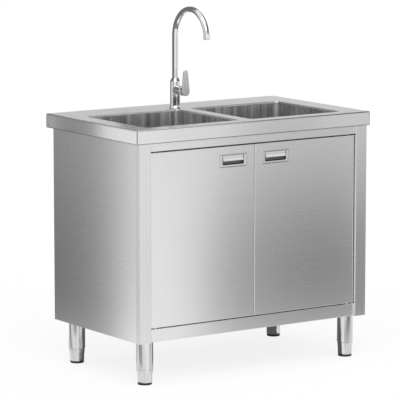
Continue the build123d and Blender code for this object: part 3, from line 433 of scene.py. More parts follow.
finish_of_slot = {
    "brushed_sheet": sheet_steel,
    # the polished tube's dark vertical streaks in its tone are painted reflections
    "polished_tube": metal("polished tube", [0.80] * 3, [0.46] * 3, (0.09, 0.14), (90, 90, 1.2), 0.1, True),
    "chrome": metal("chrome", (0.80, 0.80, 0.81), (0.77, 0.77, 0.78), (0.04, 0.07)),
    "satin_chrome": metal("satin chrome", [0.66] * 3, [0.62] * 3, (0.30, 0.38)),
    "zinc_fixing": metal("zinc plate", (0.62, 0.61, 0.57), (0.50, 0.50, 0.49), (0.30, 0.45), bump=0.1),
    "brass": metal("brass", (0.76, 0.58, 0.28), (0.62, 0.45, 0.20), (0.22, 0.34), bump=0.06),
    "copper": metal("copper", (0.78, 0.42, 0.27), (0.58, 0.29, 0.18), (0.24, 0.40), bump=0.06),
    "white_plastic": moulded("white plastic", (0.80, 0.80, 0.78), (0.74, 0.74, 0.71), (0.34, 0.44)),
    "white_nylon": moulded("white nylon", (0.78, 0.77, 0.72), (0.70, 0.69, 0.64), (0.42, 0.52)),
    "black_plastic": moulded("black plastic", (0.035, 0.035, 0.036), (0.022, 0.022, 0.022), (0.38, 0.5)),
    "black_pad": moulded("black rubber", [0.010] * 3, [0.006] * 3, (0.45, 0.6)),
    "grey_rubber": moulded("grey rubber", [0.16] * 3, [0.11] * 3, (0.6, 0.75)),
}
dark_nylon = moulded("dark nylon", [0.10] * 3, [0.07] * 3, (0.42, 0.52))
print("other finishes ready")

# %% [markdown]
# ## Pieces that keep their measured shape
# Posts, rails, panels, doors, channels and small fixings are plain sheet or turned forms, and their
# measured meshes are right as they are. They only need a finish. The table of slot names gives each
# node its material, apart from the posts and the bushes, which have their own.

# %% Dress the measured pieces
own_finish = {"front_post_left": post_steel, "front_post_right": post_steel,
              "door_left_bushes": dark_nylon, "door_right_bushes": dark_nylon}
for subpart in frame["record"]["subparts"]:
    mesh = frame["nodes"][subpart["node"]].data
    mesh.materials.clear()
    mesh.materials.append(own_finish.get(subpart["node"], finish_of_slot[subpart["material_slot"]]))

# %% [markdown]
# ## Worktop
# On the real unit one sheet is cut, its four edges are folded down, the corners are welded and ground,
# and each bowl opening is pulled down into a collar. It could be a box with booleans and a bevel, but
# the bends would be rough. Here rings of points run over each bend, and only the flat between them is
# filled. A solidify modifier then gives the skin its 1.5 mm.

# %% Worktop skin
signs = {"left": -1, "right": 1}
sheet, edge_bend, edge_corner, rim_bend = 1.5, 4.6, 1.2, 3.0
bowl_wall, bowl_corner = 1.2, 15.0
tap_hole, hole_margin, hole_points = 17.5, 1.5, 32
worktop_low, worktop_high = box("worktop")
half_x, half_y, surface = worktop_high
skirt_end = worktop_low.z
bowls = {side: box(f"bowl_{side}") for side in signs}
collar_end = bowls["left"][1].z
tap = centre_of("tap_shank")


def bowl_outline(side, grow):
    """The opening of a bowl, grown outwards by some millimetres."""
    low, high = bowls[side]
    size = [length + 2 * (grow - bowl_wall) for length in high - low]
    return rounded_rectangle((low + high) / 2, size, bowl_corner + grow)


skirt_profile = [(-edge_bend - 0.6, surface)] + arc((-edge_bend, surface - edge_bend), edge_bend, 90, 0)
skirt_profile += at(surface, (0, -edge_bend - 0.6))
skirt_profile += at(skirt_end, (0, 3.6), (0, 3.1), (-0.25, 2.9), (-1.3, 2.6), (-1.3, 1.7), (-0.25, 1.4),
                    (0, 1.1), (0, 0.6), (-0.5, 0))
skirt_rings = []
for grow, height in skirt_profile:
    size = (2 * (half_x + grow), 2 * (half_y + grow))
    skirt_rings.append(level_ring(rounded_rectangle((0, 0), size, edge_corner, 3), height))
rim_profile = [(rim_bend + 0.6, surface)] + arc((rim_bend, surface - rim_bend), rim_bend, 90, 180)
rim_profile += [(0, collar_end + 0.2)]
rims = [[level_ring(bowl_outline(side, grow), height) for grow, height in rim_profile] for side in bowls]
hole_rings = [level_ring(circle(radius, hole_points, tap), surface)
              for radius in (tap_hole + hole_margin, tap_hole)]
shells = [filled([skirt_rings[0], rims[0][0], rims[1][0], hole_rings[0]])]
shells += [skin(rings) for rings in (skirt_rings, hole_rings, *rims)]
worktop_mesh = smooth(facing(join_meshes(shells, weld=1e-6), (0, 0, 1)), 50)
thicken(add_piece("worktop_skin", worktop_mesh, "brushed_sheet", stands_for="worktop",
                  finish=worktop_steel), sheet)

# %% [markdown]
# The folded-in lip closes the skirt underneath at the sides and at the back, where the worktop
# overhangs the cabinet. It is a flat U, seen only from below.

# %% Worktop lip
panel_high = box("side_panel_right")[1]
lip_gap = 0.5
in_x, in_y, out_x, out_y = panel_high.x + lip_gap, panel_high.y + lip_gap, half_x - sheet, half_y - sheet
lip_outline = [(-out_x, -out_y), (-out_x, out_y), (out_x, out_y), (out_x, -out_y), (in_x, -out_y),
               (in_x, in_y), (-in_x, in_y), (-in_x, -out_y)]
lip_rings = [level_ring(lip_outline, height) for height in (skirt_end, skirt_end + sheet)]
add_piece("worktop_lip", skin(lip_rings, caps="both"), "brushed_sheet")

# %% [markdown]
# ## Bowls
# Each bowl is pressed and welded under the collar. Its walls run down to a wide bend, and its floor
# falls a few millimetres towards the drain along four soft creases. The rings of the rounded rectangle
# lead over into the circle of the drain, point by point, which makes the creases by itself.

# %% Bowl shells
drain_radius, fall, wall_bend = 42.1, 3.0, 12.0
for side, (low, high) in bowls.items():
    floor = low.z + bowl_wall
    bend_top = floor + fall + wall_bend
    centre = (low + high) / 2
    centre.z = 0
    profile = [(0, collar_end), (0, collar_end - 0.6), (0, bend_top + 0.6)]
    profile += arc((-wall_bend, bend_top), wall_bend, 0, -90, 6)
    rings = [level_ring(bowl_outline(side, grow), height) for grow, height in profile]
    for share in (0.04, 0.5, 0.93, 1.0):
        ring = []
        for x, y in bowl_outline(side, -wall_bend):
            angle = atan2(y - centre.y, x - centre.x)
            ring.append(mm(x + (centre.x + drain_radius * cos(angle) - x) * share,
                           y + (centre.y + drain_radius * sin(angle) - y) * share,
                           floor + fall * (1 - share)))
        rings.append(ring)
    shell = smooth(skin(rings), 50)
    facing(shell, centre * MM - shell.polygons[0].center)
    thicken(add_piece(f"bowl_{side}_shell", shell, "brushed_sheet", stands_for=f"bowl_{side}",
                      finish=bowl_steel), bowl_wall)

# %% [markdown]
# ## Recessed pulls
# Each pull has a rounded frame with a groove pressed round it, a pocket drawn back into the door, and a
# tab that hangs from the pocket's upper edge and flares and curls at its end, where the fingers hook
# in. Rings of rounded rectangles make all but the tab, which is a curved profile drawn across the
# width. Groove and pocket are pieces of their own, because they are duller than the frame and darker
# with painted shade.

# %% Pulls
pull_width, pull_corner, proud = 121.0, 5.0, 1.2
mouth_width, mouth_height, mouth_corner, mouth_rise = 91.0, 31.0, 3.0, 1.5
grip_width, grip_sheet, grip_shift = 86.0, 1.0, -1.5


def pull_skin(centre_x, steps, angle=40, caps=None):
    """A skin through upright rounded rectangles of given middle, width, height, corner and depth."""
    rings = [[mm(x, y, z) for x, z in rounded_rectangle((centre_x, middle), (width, height), corner, 4)]
             for middle, width, height, corner, y in steps]
    return smooth(skin(rings, caps=caps), angle)


def grip_mesh(centre_x, top, face_y):
    """The tab that hangs over the pocket; its end flares out and turns under."""
    line = shifted(face_y - proud, top, (0.6, 0.8), (0.3, 0), (0, -1), (-0.3, -4), (-0.5, -7.6),
                   (-0.8, -9), (-1.2, -10), (-3.1, -15.6))
    line += arc((face_y - proud - 2.0, top - 16.1), 1.2, 160, 300, 7)
    inner = []
    for (y0, z0), (y1, z1) in zip(line, line[1:]):
        scale = grip_sheet / hypot(y1 - y0, z1 - z0)
        inner.append((y0 - (z1 - z0) * scale, z0 + (y1 - y0) * scale))
    inner += shifted(*line[-1], (0.2, 0.9))
    half = grip_width / 2
    rings = [[mm(centre_x + x, y, z) for y, z in line + inner[::-1]]
             for x in (-half, 0.5 - half, half - 0.5, half)]
    return smooth(skin(rings, caps="both"), 40)


for side in signs:
    low, high = box(f"door_{side}_pull")
    door_face = box(f"door_{side}_skin")[0].y
    across_x, _, middle = (low + high) / 2
    mouth_middle, pocket_back = middle + mouth_rise, high.y - 1.5

    def frame_steps(*steps):
        """Rectangles drawn in from the pull's outline, each with its inset and its depth."""
        return [(middle, pull_width - 2 * inset, high.z - low.z - 2 * inset, pull_corner - inset,
                 door_face - proud + depth) for inset, depth in steps]

    def mouth_steps(corner_share, *steps):
        """Rectangles round the pocket's mouth, each grown by some millimetres at its depth."""
        return [(mouth_middle, mouth_width + 2 * grow, mouth_height + 2 * grow,
                 mouth_corner + grow * corner_share, y) for grow, y in steps]

    outer = frame_steps((0, proud), (0, 0.5), (0.2, 0.15), (0.6, 0.0), (1.5, 0.0), (1.8, 0.3))
    inner = frame_steps((4.0, 0.3), (4.3, 0.0), (4.8, 0.0))
    inner += mouth_steps(1, *at(door_face - proud, (2, 0), (1.2, 0.05), (0.5, 0.35), (0.1, 1), (0, 1.6)))
    plate = [pull_skin(across_x, outer), pull_skin(across_x, inner),
             grip_mesh(across_x + grip_shift, mouth_middle + mouth_height / 2 - 0.5, door_face)]
    pocket = mouth_steps(0.5, (0, door_face + 0.4), *at(pocket_back, (0, -3.6), (0, -3), (-0.4, -1.5),
                                                        (-1.5, -0.4), (-3, 0), (-3.6, 0)))
    groove = frame_steps((1.8, 0.3), (2.0, 0.7), (2.3, 1.1), (3.5, 1.1), (3.8, 0.7), (4.0, 0.3))
    body = f"door_{side}"
    add_piece(f"{body}_pull_plate", plate, "brushed_sheet", body, f"{body}_pull", pull_steel)
    # the pocket's dark sheet is painted shade
    add_piece(f"{body}_pull_pocket", pull_skin(across_x, pocket, caps="end"), "brushed_sheet", body,
              finish=pocket_painted_shade_steel)
    # the groove's darker sheet is painted shade
    add_piece(f"{body}_pull_groove", pull_skin(across_x, groove, 60), "brushed_sheet", body,
              finish=groove_painted_shade_steel)

# %% [markdown]
# ## Legs and feet
# The leg is a plain polished tube. The foot screws in and out of it: a sleeve that tapers, a straight
# end with a light chamfer, and a black pad. Turned profiles give smooth rounds with more segments than
# the measured mesh.

# %% Legs, feet and pads
foot_radius, pad_height, foot_gap, stud_radius, spindle_radius = 25.7, 7.5, 0.3, 8, 10
leg_top = box("bottom_rail")[0].z
for corner in ("front_left", "front_right", "back_left", "back_right"):
    low, high = box(f"leg_{corner}")
    leg_radius, leg_end = (high.x - low.x) / 2, low.z
    axis_point = ((low.x + high.x) / 2, (low.y + high.y) / 2, 0)
    leg = shifted(leg_radius, leg_top, (-2, -4))
    leg += shifted(leg_radius, leg_end, (-2, 0.3), (-1.7, 0), (-0.5, 0), (0, 0.5))
    leg += [(leg_radius, leg_top), (stud_radius, leg_top)]
    leg += at(high.z, (stud_radius, -1), (stud_radius - 1, 0), (0, 0))

    foot = [(0, pad_height)] + shifted(foot_radius, 0, (-2, pad_height), (-1.6, 7.9), (-0.2, 10.6),
                                       (0, 11.4), (0, 27.0), (0.15, 29.0))
    foot += at(leg_end - foot_gap, (28.3, -2), (28.5, -0.9), (28, -0.2), (27, 0), (spindle_radius, 0))
    foot += at(box(f"foot_{corner}")[1].z, (spindle_radius, -1.5), (spindle_radius - 1.5, 0), (0, 0))
    pad = [(0, 0)] + shifted(foot_radius, 0, (-2, 0), (-1.2, 0.4), (-0.8, 1.4), (-0.8, 6.7),
                             (-1.4, pad_height)) + [(0, pad_height)]
    for piece_name, profile, slot, body, stands_for in (
            (f"leg_{corner}_tube", leg, "polished_tube", "cabinet", f"leg_{corner}"),
            (f"foot_{corner}_sleeve", foot, "polished_tube", f"foot_{corner}", f"foot_{corner}"),
            (f"foot_{corner}_pad", pad, "black_pad", f"foot_{corner}", f"foot_pad_{corner}")):
        add_piece(piece_name, lathe(profile, axis_point, segments=96), slot, body, stands_for)

# %% [markdown]
# ## Tubes that follow a route
# The gooseneck, the two waste elbows and the copper tails are all the same idea: straight runs with
# rounded corners and a round section. A node tree does it once for all of them. It takes the route as a
# bare line, rounds its corners, and draws a circle along it; the radii are its inputs.

# %% Node tree for tubes
def start_tree(tree_name, **defaults):
    """A geometry tree with a mesh and a finish in, a mesh out, and an input for each default."""
    tree = bpy.data.node_groups.new(tree_name, "GeometryNodeTree")
    kinds = {int: "Int", float: "Float", tuple: "Vector"}
    sockets = [(title, kinds[type(value)]) for title, value in defaults.items()]
    for title, kind in [("Geometry", "Geometry"), *sockets, ("Finish", "Material")]:
        socket = tree.interface.new_socket(name=title, in_out="INPUT", socket_type=f"NodeSocket{kind}")
        if title in defaults:
            socket.default_value = defaults[title]
    tree.interface.new_socket(name="Geometry", in_out="OUTPUT", socket_type="NodeSocketGeometry")
    return tree, tree.nodes.new("NodeGroupInput").outputs


def end_tree(tree, given, shape, merge=None):
    """Makes the instances real, closes seams within a distance, and sets the material."""
    shape = node(tree, "GeometryNodeRealizeInstances", {"Geometry": shape})
    if merge:
        shape = node(tree, "GeometryNodeMergeByDistance", {"Geometry": shape, "Distance": merge})
    shape = node(tree, "GeometryNodeSetMaterial", {"Geometry": shape, "Material": given["Finish"]})
    node(tree, "NodeGroupOutput", {"Geometry": shape})
    print(tree.name, "has", len(tree.nodes), "nodes")


def grow_mesh(tree, data, slot, **values):
    """Runs a tree on a mesh or a curve and gives back its result as a plain mesh."""
    source = bpy.data.objects.new("source", data)
    scene.collection.objects.link(source)
    modifier = source.modifiers.new("tree", "NODES")
    modifier.node_group = tree
    values["Finish"] = finish_of_slot[slot]
    for item in tree.interface.items_tree:
        if item.in_out == "INPUT" and item.name in values:
            modifier[item.identifier] = values[item.name]
    bpy.context.view_layer.update()
    graph = bpy.context.evaluated_depsgraph_get()
    mesh = bpy.data.meshes.new_from_object(source.evaluated_get(graph))
    bpy.data.objects.remove(source)
    return mesh


tube_tree, given = start_tree("tube along a route", Radius=0.01, Corner=0.04, Steps=12)
rounded = node(tube_tree, "GeometryNodeFilletCurve", {
    "Curve": given["Geometry"], "Radius": given["Corner"], "Count": given["Steps"]}, mode="POLY")
section = node(tube_tree, "GeometryNodeCurvePrimitiveCircle", {"Resolution": 40, "Radius": given["Radius"]})
swept = node(tube_tree, "GeometryNodeCurveToMesh", {"Curve": rounded, "Profile Curve": section,
                                                    "Fill Caps": True})
end_tree(tube_tree, given, swept)


def route_tube(points, radius, corner, slot, steps):
    """A tube along corner points."""
    line = bpy.data.curves.new("route", "CURVE")
    line.dimensions = "3D"
    spline = line.splines.new("POLY")
    spline.points.add(len(points) - 1)
    for point, place in zip(spline.points, points):
        point.co = (*mm(*place), 1)
    return smooth(grow_mesh(tube_tree, line, slot, Radius=radius * MM, Corner=corner * MM, Steps=steps), 40)


# %% [markdown]
# ## Mixer
# A turned body with a flared foot and a side boss, a swivelling gooseneck of 22 mm tube, and a flat
# paddle lever on the boss. Body, boss and cap are turned profiles. The gooseneck's corners lie outside
# the arch, so that rounding them by the arch's radius gives a true half circle that ends a little
# before the vertical.

# %% Mixer body, cap and seal
body_low, body_high = box("tap_body")
foot_z, neck_z, boss_front = body_low.z, body_high.z, body_low.y
boss_z = centre_of("cartridge").z
tilt_y = tap.y - 50
dome_radius, cap_bore = 16, 9.0
tap_axis, boss_axis = (tap.x, tap.y, 0), (tap.x, 0, boss_z)
profile = at(foot_z, (17.6, 0), (20.6, 0), (21, 0.5), (21, 2.2), (20.6, 3.2), (19.3, 5.5), (18.6, 8),
             (18.3, 11))
profile += at(neck_z, (18.3, -12.6), (18.1, -11.6), (17.4, -10.5), (13.2, -1.6), (12.4, -0.5), (11.4, 0),
              (9.1, 0))
body = lathe(profile, tap_axis, segments=96)
profile = [(17.2, tap.y - 4)] + at(boss_front, (17.2, 1.2), (16.9, 0.4), (16.2, 0), (13.9, 0))
boss = lathe(profile, boss_axis, axis="Y", segments=96)
add_piece("mixer_body", [body, boss], "chrome", stands_for="tap_body")

cap_low, cap_high = box("cartridge_cap")
dome = [(13.9, cap_high.y), (dome_radius, boss_front)] + arc((0, tilt_y), dome_radius, -2, -38, 6)
dome += at(cap_low.y, (11.6, 0.1), (9.4, 0), (cap_bore, 0.5)) + [(cap_bore, tap.y - 45)]
cap = lathe(dome, boss_axis, axis="Y", segments=96, hold=False)
add_piece("cartridge_dome", cap, "chrome", stands_for="cartridge_cap")

profile = at(surface, (17.6, 0), (19.6, 0), (20, 0.3), (20, 1), (17.6, 1))
add_piece("mixer_seal", lathe(profile, tap_axis, joined_ends=True), "grey_rubber", stands_for="tap_base_seal")

# %% Gooseneck and aerator
tube, arch, tilt = 11.0, 102.0, radians(8)
spout_top = box("spout_tube")[1].z - tube
arch_end = Vector((tap.x, tap.y - arch - arch * cos(tilt), spout_top - arch + arch * sin(tilt)))
outlet = Vector((0, -sin(tilt), -cos(tilt)))
last_corner = arch_end - outlet * ((spout_top - arch_end.z) / cos(tilt))
route = [(tap.x, tap.y, neck_z + 0.6), (tap.x, tap.y, spout_top), last_corner, arch_end + outlet * 6]
profile = at(neck_z, (8.9, 0.2), (10.6, 0.2), (11, 0.6), (11, 2), (10.7, 2.3), (10.7, 2.9), (11, 3.2),
             (11, 4.4))
spout = [route_tube(route, tube, arch, "chrome", 40), lathe(profile, tap_axis, segments=64)]
add_piece("gooseneck", spout, "chrome", "spout", "spout_tube")

profile = [(11.1, 0.3), (11.7, 0.4), (12.0, 0.9), (12.0, 12.6), (11.5, 13.5), (10.8, 14.0), (9.4, 14.0),
           (9.0, 13.4), (9.0, 11.6), (0, 11.6)]
nozzle = [lathe(profile, segments=64)]
bar_pitch, bar_half, mesh_radius = 2.4, 0.25, 8.6
for k in range(-3, 4):
    middle = k * bar_pitch
    reach = (mesh_radius ** 2 - middle ** 2) ** 0.5
    bar = [(middle - bar_half, -reach), (middle + bar_half, -reach), (middle + bar_half, reach),
           (middle - bar_half, reach)]
    for outline, top in ((bar, 12.4), ([(y, x) for x, y in bar], 12.7)):
        nozzle.append(skin([level_ring(outline, height) for height in (11.5, top)], caps="both"))
nozzle = join_meshes(nozzle)
nozzle_turn = Vector((0, 0, 1)).rotation_difference(outlet).to_matrix().to_4x4()
nozzle.transform(Matrix.Translation(arch_end * MM) @ nozzle_turn)
add_piece("nozzle", smooth(nozzle, 40), "chrome", "spout", "aerator")

# %% [markdown]
# The lever's blade is the outline round two circles, a large one over the boss and a small one at the
# tip. Insetting both circles by the same amount gives the next ring of the rounded edge, so the whole
# blade is a stack of such outlines. The hub behind it has a hollow that fits the dome.

# %% Lever
lever_low, lever_high = box("tap_lever")
blade_front, hub_back = lever_low.y, lever_high.y
disc_radius, tip_radius, hollow_radius, blade_thickness = (lever_high.x - lever_low.x) / 2, 9.3, 16.6, 6.0
tip_z = lever_high.z - tip_radius


def blade_ring(inset, depth):
    """Points round the lever's two circles, each made smaller by the inset."""
    large, small, steps = disc_radius - inset, tip_radius - inset, 14
    lean = degrees(atan2(large - small, tip_z - boss_z))
    outline = arc((tap.x, boss_z), large, 180 - lean, 360 + lean, steps)
    outline += arc((tap.x, tip_z), small, lean, 180 - lean, steps)
    return [mm(x, blade_front + depth, z) for x, z in outline]


blade_steps = [(5.0, 0.0), (2.2, 0.0), (1.4, 0.12), (0.7, 0.45), (0.25, 0.95), (0.0, 1.7)]
blade_steps += at(blade_thickness, (0, -1), (0.3, -0.3), (1, 0))
blade = skin([blade_ring(*step) for step in blade_steps], caps="both")
hub = [(0, blade_front + 2)] + shifted(disc_radius, blade_front, (-0.3, 2), (-0.05, 5))
hub += shifted(disc_radius, hub_back, (-0.05, -0.6), (-0.5, 0))
hub += [(hollow_radius * cos(radians(a)), tilt_y - hollow_radius * sin(radians(a)))
        for a in (27, 35, 45, 55, 65, 75)]
hub += [(0, tilt_y - hollow_radius)]
lever = [blade, lathe(hub, boss_axis, axis="Y", hold=False)]
add_piece("lever_paddle", lever, "satin_chrome", "lever", "tap_lever")

# %% [markdown]
# ## Copper tails and waste pipes
# Under the worktop two copper tails hang from the mixer, and a white plastic elbow leads from each
# strainer to a tee over the bottle trap. All of them come from the tube tree.

# %% Tails and elbows
tail_end, tail_radius, tail_bend = 640.0, 5.0, 40
tail_bend_top = surface - sheet - 65
thread = [(r, h - 2 * k) for k in range(7) for r, h in ((10.48, -9.0), (9.7, -10.0))]
tails = []
for side in (-1, 1):
    start_x, end_x = tap.x + side * 6.5, tap.x + side * 20
    tails.append(route_tube([(start_x, tap.y, foot_z), (start_x, tap.y, tail_bend_top),
                             (end_x, tap.y, tail_bend_top - 60), (end_x, tap.y, tail_end - 1)],
                            tail_radius, tail_bend, "copper", 8))
    nut = at(tail_end, (5, 0), (12.6, 0), (13.8, -1), (13.8, -7), (12.6, -8), (10.4, -8))
    tails.append(lathe(nut, (end_x, tap.y, 0), segments=6, hold=False))
    end = at(tail_end, (10.4, -8), *thread, (9.4, -23), (4.5, -23), (4.5, -16), (0, -16))
    tails.append(lathe(end, (end_x, tap.y, 0), segments=40, hold=False))
add_piece("copper_tails", tails, "copper", stands_for="supply_tails", angle=35)

strainer_end = box("strainer_body_left")[0].z
tee_x, bowl_y, tee_z = centre_of("waste_pipes").x, centre_of("bowl_left").y, 545.0
tee_half, tee_radius, pipe_radius, pipe_bend = 42.0, 24.0, 20.0, 42
trap_low, trap_high = box("trap")
drains = {side: centre_of(f"bowl_{side}").x for side in signs}
pipes = []
for side, sign in signs.items():
    route = [(drains[side], bowl_y, strainer_end), (drains[side], bowl_y, tee_z),
             (tee_x + sign * (tee_half - 18), bowl_y, tee_z)]
    pipes.append(route_tube(route, pipe_radius, pipe_bend, "white_plastic", 14))
for sign in signs.values():
    run = [(r, tee_x + sign * x) for r, x in (
        (0, 0), (tee_radius - 1.5, 0), (tee_radius - 1.5, 22), (tee_radius, 24), (tee_radius, 40),
        (tee_radius - 0.6, tee_half), (pipe_radius + 0.1, tee_half))]
    pipes.append(lathe(run, (0, bowl_y, tee_z), axis="X"))
drop = shifted(tee_radius, tee_z, (-tee_radius, 0), (-2, 0), (-2, -24), (-0.5, -26))
drop += [(tee_radius - 0.5, trap_high.z)]
pipes.append(lathe(drop, (tee_x, bowl_y, 0)))
add_piece("waste_manifold", pipes, "white_plastic", stands_for="waste_pipes", angle=35)

# %% [markdown]
# ## Slip nuts
# Each joint of the waste has a nut with ribs for the fingers. A rib repeated round a nut is a job for
# instances: the tree puts one rib on every point of a circle, turned outwards, and joins the nut's body
# to them. The nut is grown once and copied to its places.

# %% Node tree for ribbed nuts
def ring_of(tree, given, shape):
    """Instances of a shape on the points of a circle, turned outwards."""
    ring = node(tree, "GeometryNodeMeshCircle", {"Vertices": given["Count"], "Radius": given["Radius"]})
    outwards = node(tree, "FunctionNodeAlignRotationToVector", {
        "Vector": node(tree, "GeometryNodeInputPosition")}, axis="X")
    return node(tree, "GeometryNodeInstanceOnPoints", {"Points": ring, "Instance": shape,
                                                       "Rotation": outwards})


rib_tree, given = start_tree("ribs round a nut", Count=12, Radius=0.026, Size=(0.004, 0.003, 0.018),
                             Middle=0.011)
rib = node(rib_tree, "GeometryNodeMeshCube", {"Size": given["Size"], "Vertices X": 2, "Vertices Y": 2,
                                              "Vertices Z": 2})
lifted = node(rib_tree, "GeometryNodeTranslateInstances", {
    "Instances": ring_of(rib_tree, given, rib), "Local Space": False,
    "Translation": node(rib_tree, "ShaderNodeCombineXYZ", {"Z": given["Middle"]})})
both = node(rib_tree, "GeometryNodeJoinGeometry", {"Geometry": lifted})
rib_tree.links.new(given["Geometry"], both.inputs["Geometry"])
end_tree(rib_tree, given, both)


def ribbed_nut(bore):
    """A slip nut round a bore, standing on the origin, 22 mm high."""
    profile = [(bore, 0), (25.6, 0), (26.4, 0.8), (26.4, 19), (25.0, nut_height), (bore, nut_height)]
    shell = lathe(profile, joined_ends=True, segments=48)
    return grow_mesh(rib_tree, shell, "white_plastic", Count=12, Radius=0.0266, Middle=0.0105,
                     Size=(0.0046, 0.0036, 0.017))


nut_height, outlet_z, socket_end = 22.0, 432.0, 50
pipe_nut = ribbed_nut(20.15)
nuts = []
for side, sign in signs.items():
    nuts.append(placed(pipe_nut, (drains[side], bowl_y, strainer_end - nut_height / 2)))
    nuts.append(placed(pipe_nut, (tee_x + sign * tee_half, bowl_y, tee_z), sign * pi / 2, "Y"))
nuts.append(placed(pipe_nut, (tee_x, bowl_y + socket_end, outlet_z), -pi / 2, "X"))
nuts.append(placed(ribbed_nut(23.7), (tee_x, bowl_y, trap_high.z)))
add_piece("ribbed_slip_nuts", nuts, "white_plastic", stands_for="slip_nuts", angle=30)

# %% Bottle trap with its outlet
profile = at(trap_low.z, (0, 0), (31, 0), (34, 0.8), (38.2, 3.6), (39.2, 5), (39.2, 23), (38.6, 24),
             (36.6, 24.4))
profile += at(trap_high.z, (36.6, -13), (36, -10.5), (30.4, -1.2), (28.6, 0), (17.6, 0))
trap = [lathe(profile, (tee_x, bowl_y, 0), segments=80)]
profile = at(bowl_y, (24, 30), (24, 49.2), (23.4, socket_end), (20.2, socket_end))
trap.append(lathe(profile, (tee_x, 0, outlet_z), axis="Y"))
profile = at(bowl_y, (pipe_radius, 37))
profile += shifted(pipe_radius, trap_high.y - 48, (0, 0), (0.8, 0), (1, 0.2), (1, 2.8), (0.8, 3), (0, 3))
profile += shifted(pipe_radius, trap_high.y, (0, -1), (-1, 0), (-1.7, 0), (-2, -0.5))
profile += at(bowl_y, (pipe_radius - 2, 60), (0, 60))
trap.append(lathe(profile, (tee_x, 0, outlet_z), axis="Y"))
grip_count, rib_outline = 24, [(39.0, 1.6), (39.0, -1.6), (40.0, -0.64), (40.0, 0.64)]
rib = skin([level_ring(rib_outline, trap_low.z + height) for height in (5, 22)], caps="both")
trap += [placed(rib, (tee_x, bowl_y, 0), 2 * pi * k / grip_count) for k in range(grip_count)]
add_piece("bottle_trap", trap, "white_plastic", stands_for="trap", angle=35)

# %% [markdown]
# ## Strainers and baskets
# The strainer's flange lies in the bowl, and a lift-out basket sits in it. A basket is known by its
# holes: they are cut into one small plate, and a node tree stands that plate on the points of a circle,
# row over row, so that the plates close up into a perforated wall.

# %% Node tree for the perforated wall
wall_tree, given = start_tree("perforated wall", Count=30, Radius=0.0375, Rows=4, Height=0.006)
row = ring_of(wall_tree, given, given["Geometry"])
step_up = node(wall_tree, "ShaderNodeCombineXYZ", {"Z": given["Height"]})
stack = node(wall_tree, "GeometryNodeMeshLine", {"Count": given["Rows"], "Offset": step_up}, mode="OFFSET")
rows = node(wall_tree, "GeometryNodeInstanceOnPoints", {"Points": stack, "Instance": row})
end_tree(wall_tree, given, rows, merge=0.0002)

columns, row_count, row_height, wall_radius, hole_radius = 30, 4, 5.6, 37.4, 1.7
half_cell = wall_radius * sin(pi / columns)


def hole_plate():
    """One plate of the wall with a round hole, facing +X, its foot at the origin."""
    half_row, steps = row_height / 2, 12
    edge, hole = [], []
    for i in range(steps):
        angle = 2 * pi * (i + 0.5) / steps
        reach = 1 / max(abs(cos(angle)), abs(sin(angle)))
        edge.append(mm(0, half_cell * max(-1, min(1, cos(angle) * reach)),
                       half_row * (1 + max(-1, min(1, sin(angle) * reach)))))
        hole.append(mm(0, hole_radius * cos(angle), half_row + hole_radius * sin(angle)))
    return facing(skin([edge, hole]), (1, 0, 0))


# %% Strainer flanges and baskets
plate = hole_plate()
cup_depth, pan_radius = 51.5, 29.0
for side in signs:
    drain = centre_of(f"strainer_body_{side}")
    axis_point = (drain.x, drain.y, 0)
    spigot_low, flange_top = [corner.z for corner in box(f"strainer_body_{side}")]
    cup_bottom = flange_top - cup_depth
    flange = at(flange_top, (40, -0.6), (40.6, 0), (50, 0), (53.5, -0.5), (55.6, -1.2), (56, -1.5),
                (42, -1.5))
    flange += at(cup_bottom, (42, 3), (39, 0), (20, 0)) + [(20, spigot_low), (18, spigot_low)]
    flange += at(cup_bottom, (18, 2), (38.5, 2), (40, 4))
    add_piece(f"strainer_{side}", lathe(flange, axis_point, joined_ends=True, segments=80),
              "polished_tube", stands_for=f"strainer_body_{side}")

    floor_z, knob_top = [corner.z for corner in box(f"basket_{side}")]
    wall_foot = flange_top - 0.4 - row_count * row_height
    wall = grow_mesh(wall_tree, plate, "polished_tube", Count=columns, Radius=wall_radius * MM,
                     Rows=row_count, Height=row_height * MM)
    wall = placed(wall, (drain.x, drain.y, wall_foot))
    rim = at(flange_top, (wall_radius, -0.6), (wall_radius + 0.1, -0.1), (38.4, 0.1), (45.4, 0.1),
             (46, 0.5), (45.6, 1.1), (38.6, 1.2), (37.2, 0.8), (36.7, -0.6))
    foot = at(wall_foot, (wall_radius, 0.2), (37, -1.6))
    foot += at(floor_z, (35, 1), (33.5, 0), (pan_radius, 0), (pan_radius, 1.1), (33, 1.1))
    foot += at(wall_foot, (36, -1), (36.6, 0.2))
    outlines = [circle(pan_radius, 48, drain)]
    for circle_radius, count in ((9, 6), (16, 12), (23.5, 18)):
        outlines += [circle(2.0, 10, hole) for hole in circle(circle_radius, count, drain)]
    pan = filled([level_ring(outline, floor_z + 1.0) for outline in outlines])
    knob = at(floor_z, (0, 0.6), (5, 0.9), (5, 2), (3, 3))
    knob += at(knob_top, (3, -9), (5, -8.2), (8.6, -6.6), (9, -5.6), (9, -2.4), (8.2, -1), (6, -0.2),
               (0, 0))
    basket = [wall, lathe(rim, axis_point, joined_ends=True), lathe(foot, axis_point, joined_ends=True),
              facing(pan, (0, 0, 1)), lathe(knob, axis_point, segments=40)]
    add_piece(f"basket_{side}_perforated", basket, "polished_tube", f"basket_{side}", f"basket_{side}",
              angle=35)

# %% [markdown]
# ## Back panel rivets
# The thin back panel is riveted to the side panels' flanges. A row of rivets is a line of points with a
# dome on each; the tree's inputs are the first point, the step and the count.

# %% Node tree for rivet rows
rivet_tree, given = start_tree("rivet row", Count=8, First=(0, 0, 0), Step=(0, 0, 0.1))
line = node(rivet_tree, "GeometryNodeMeshLine", {
    "Count": given["Count"], "Start Location": given["First"], "Offset": given["Step"]}, mode="OFFSET")
heads = node(rivet_tree, "GeometryNodeInstanceOnPoints", {"Points": line, "Instance": given["Geometry"]})
end_tree(rivet_tree, given, heads)

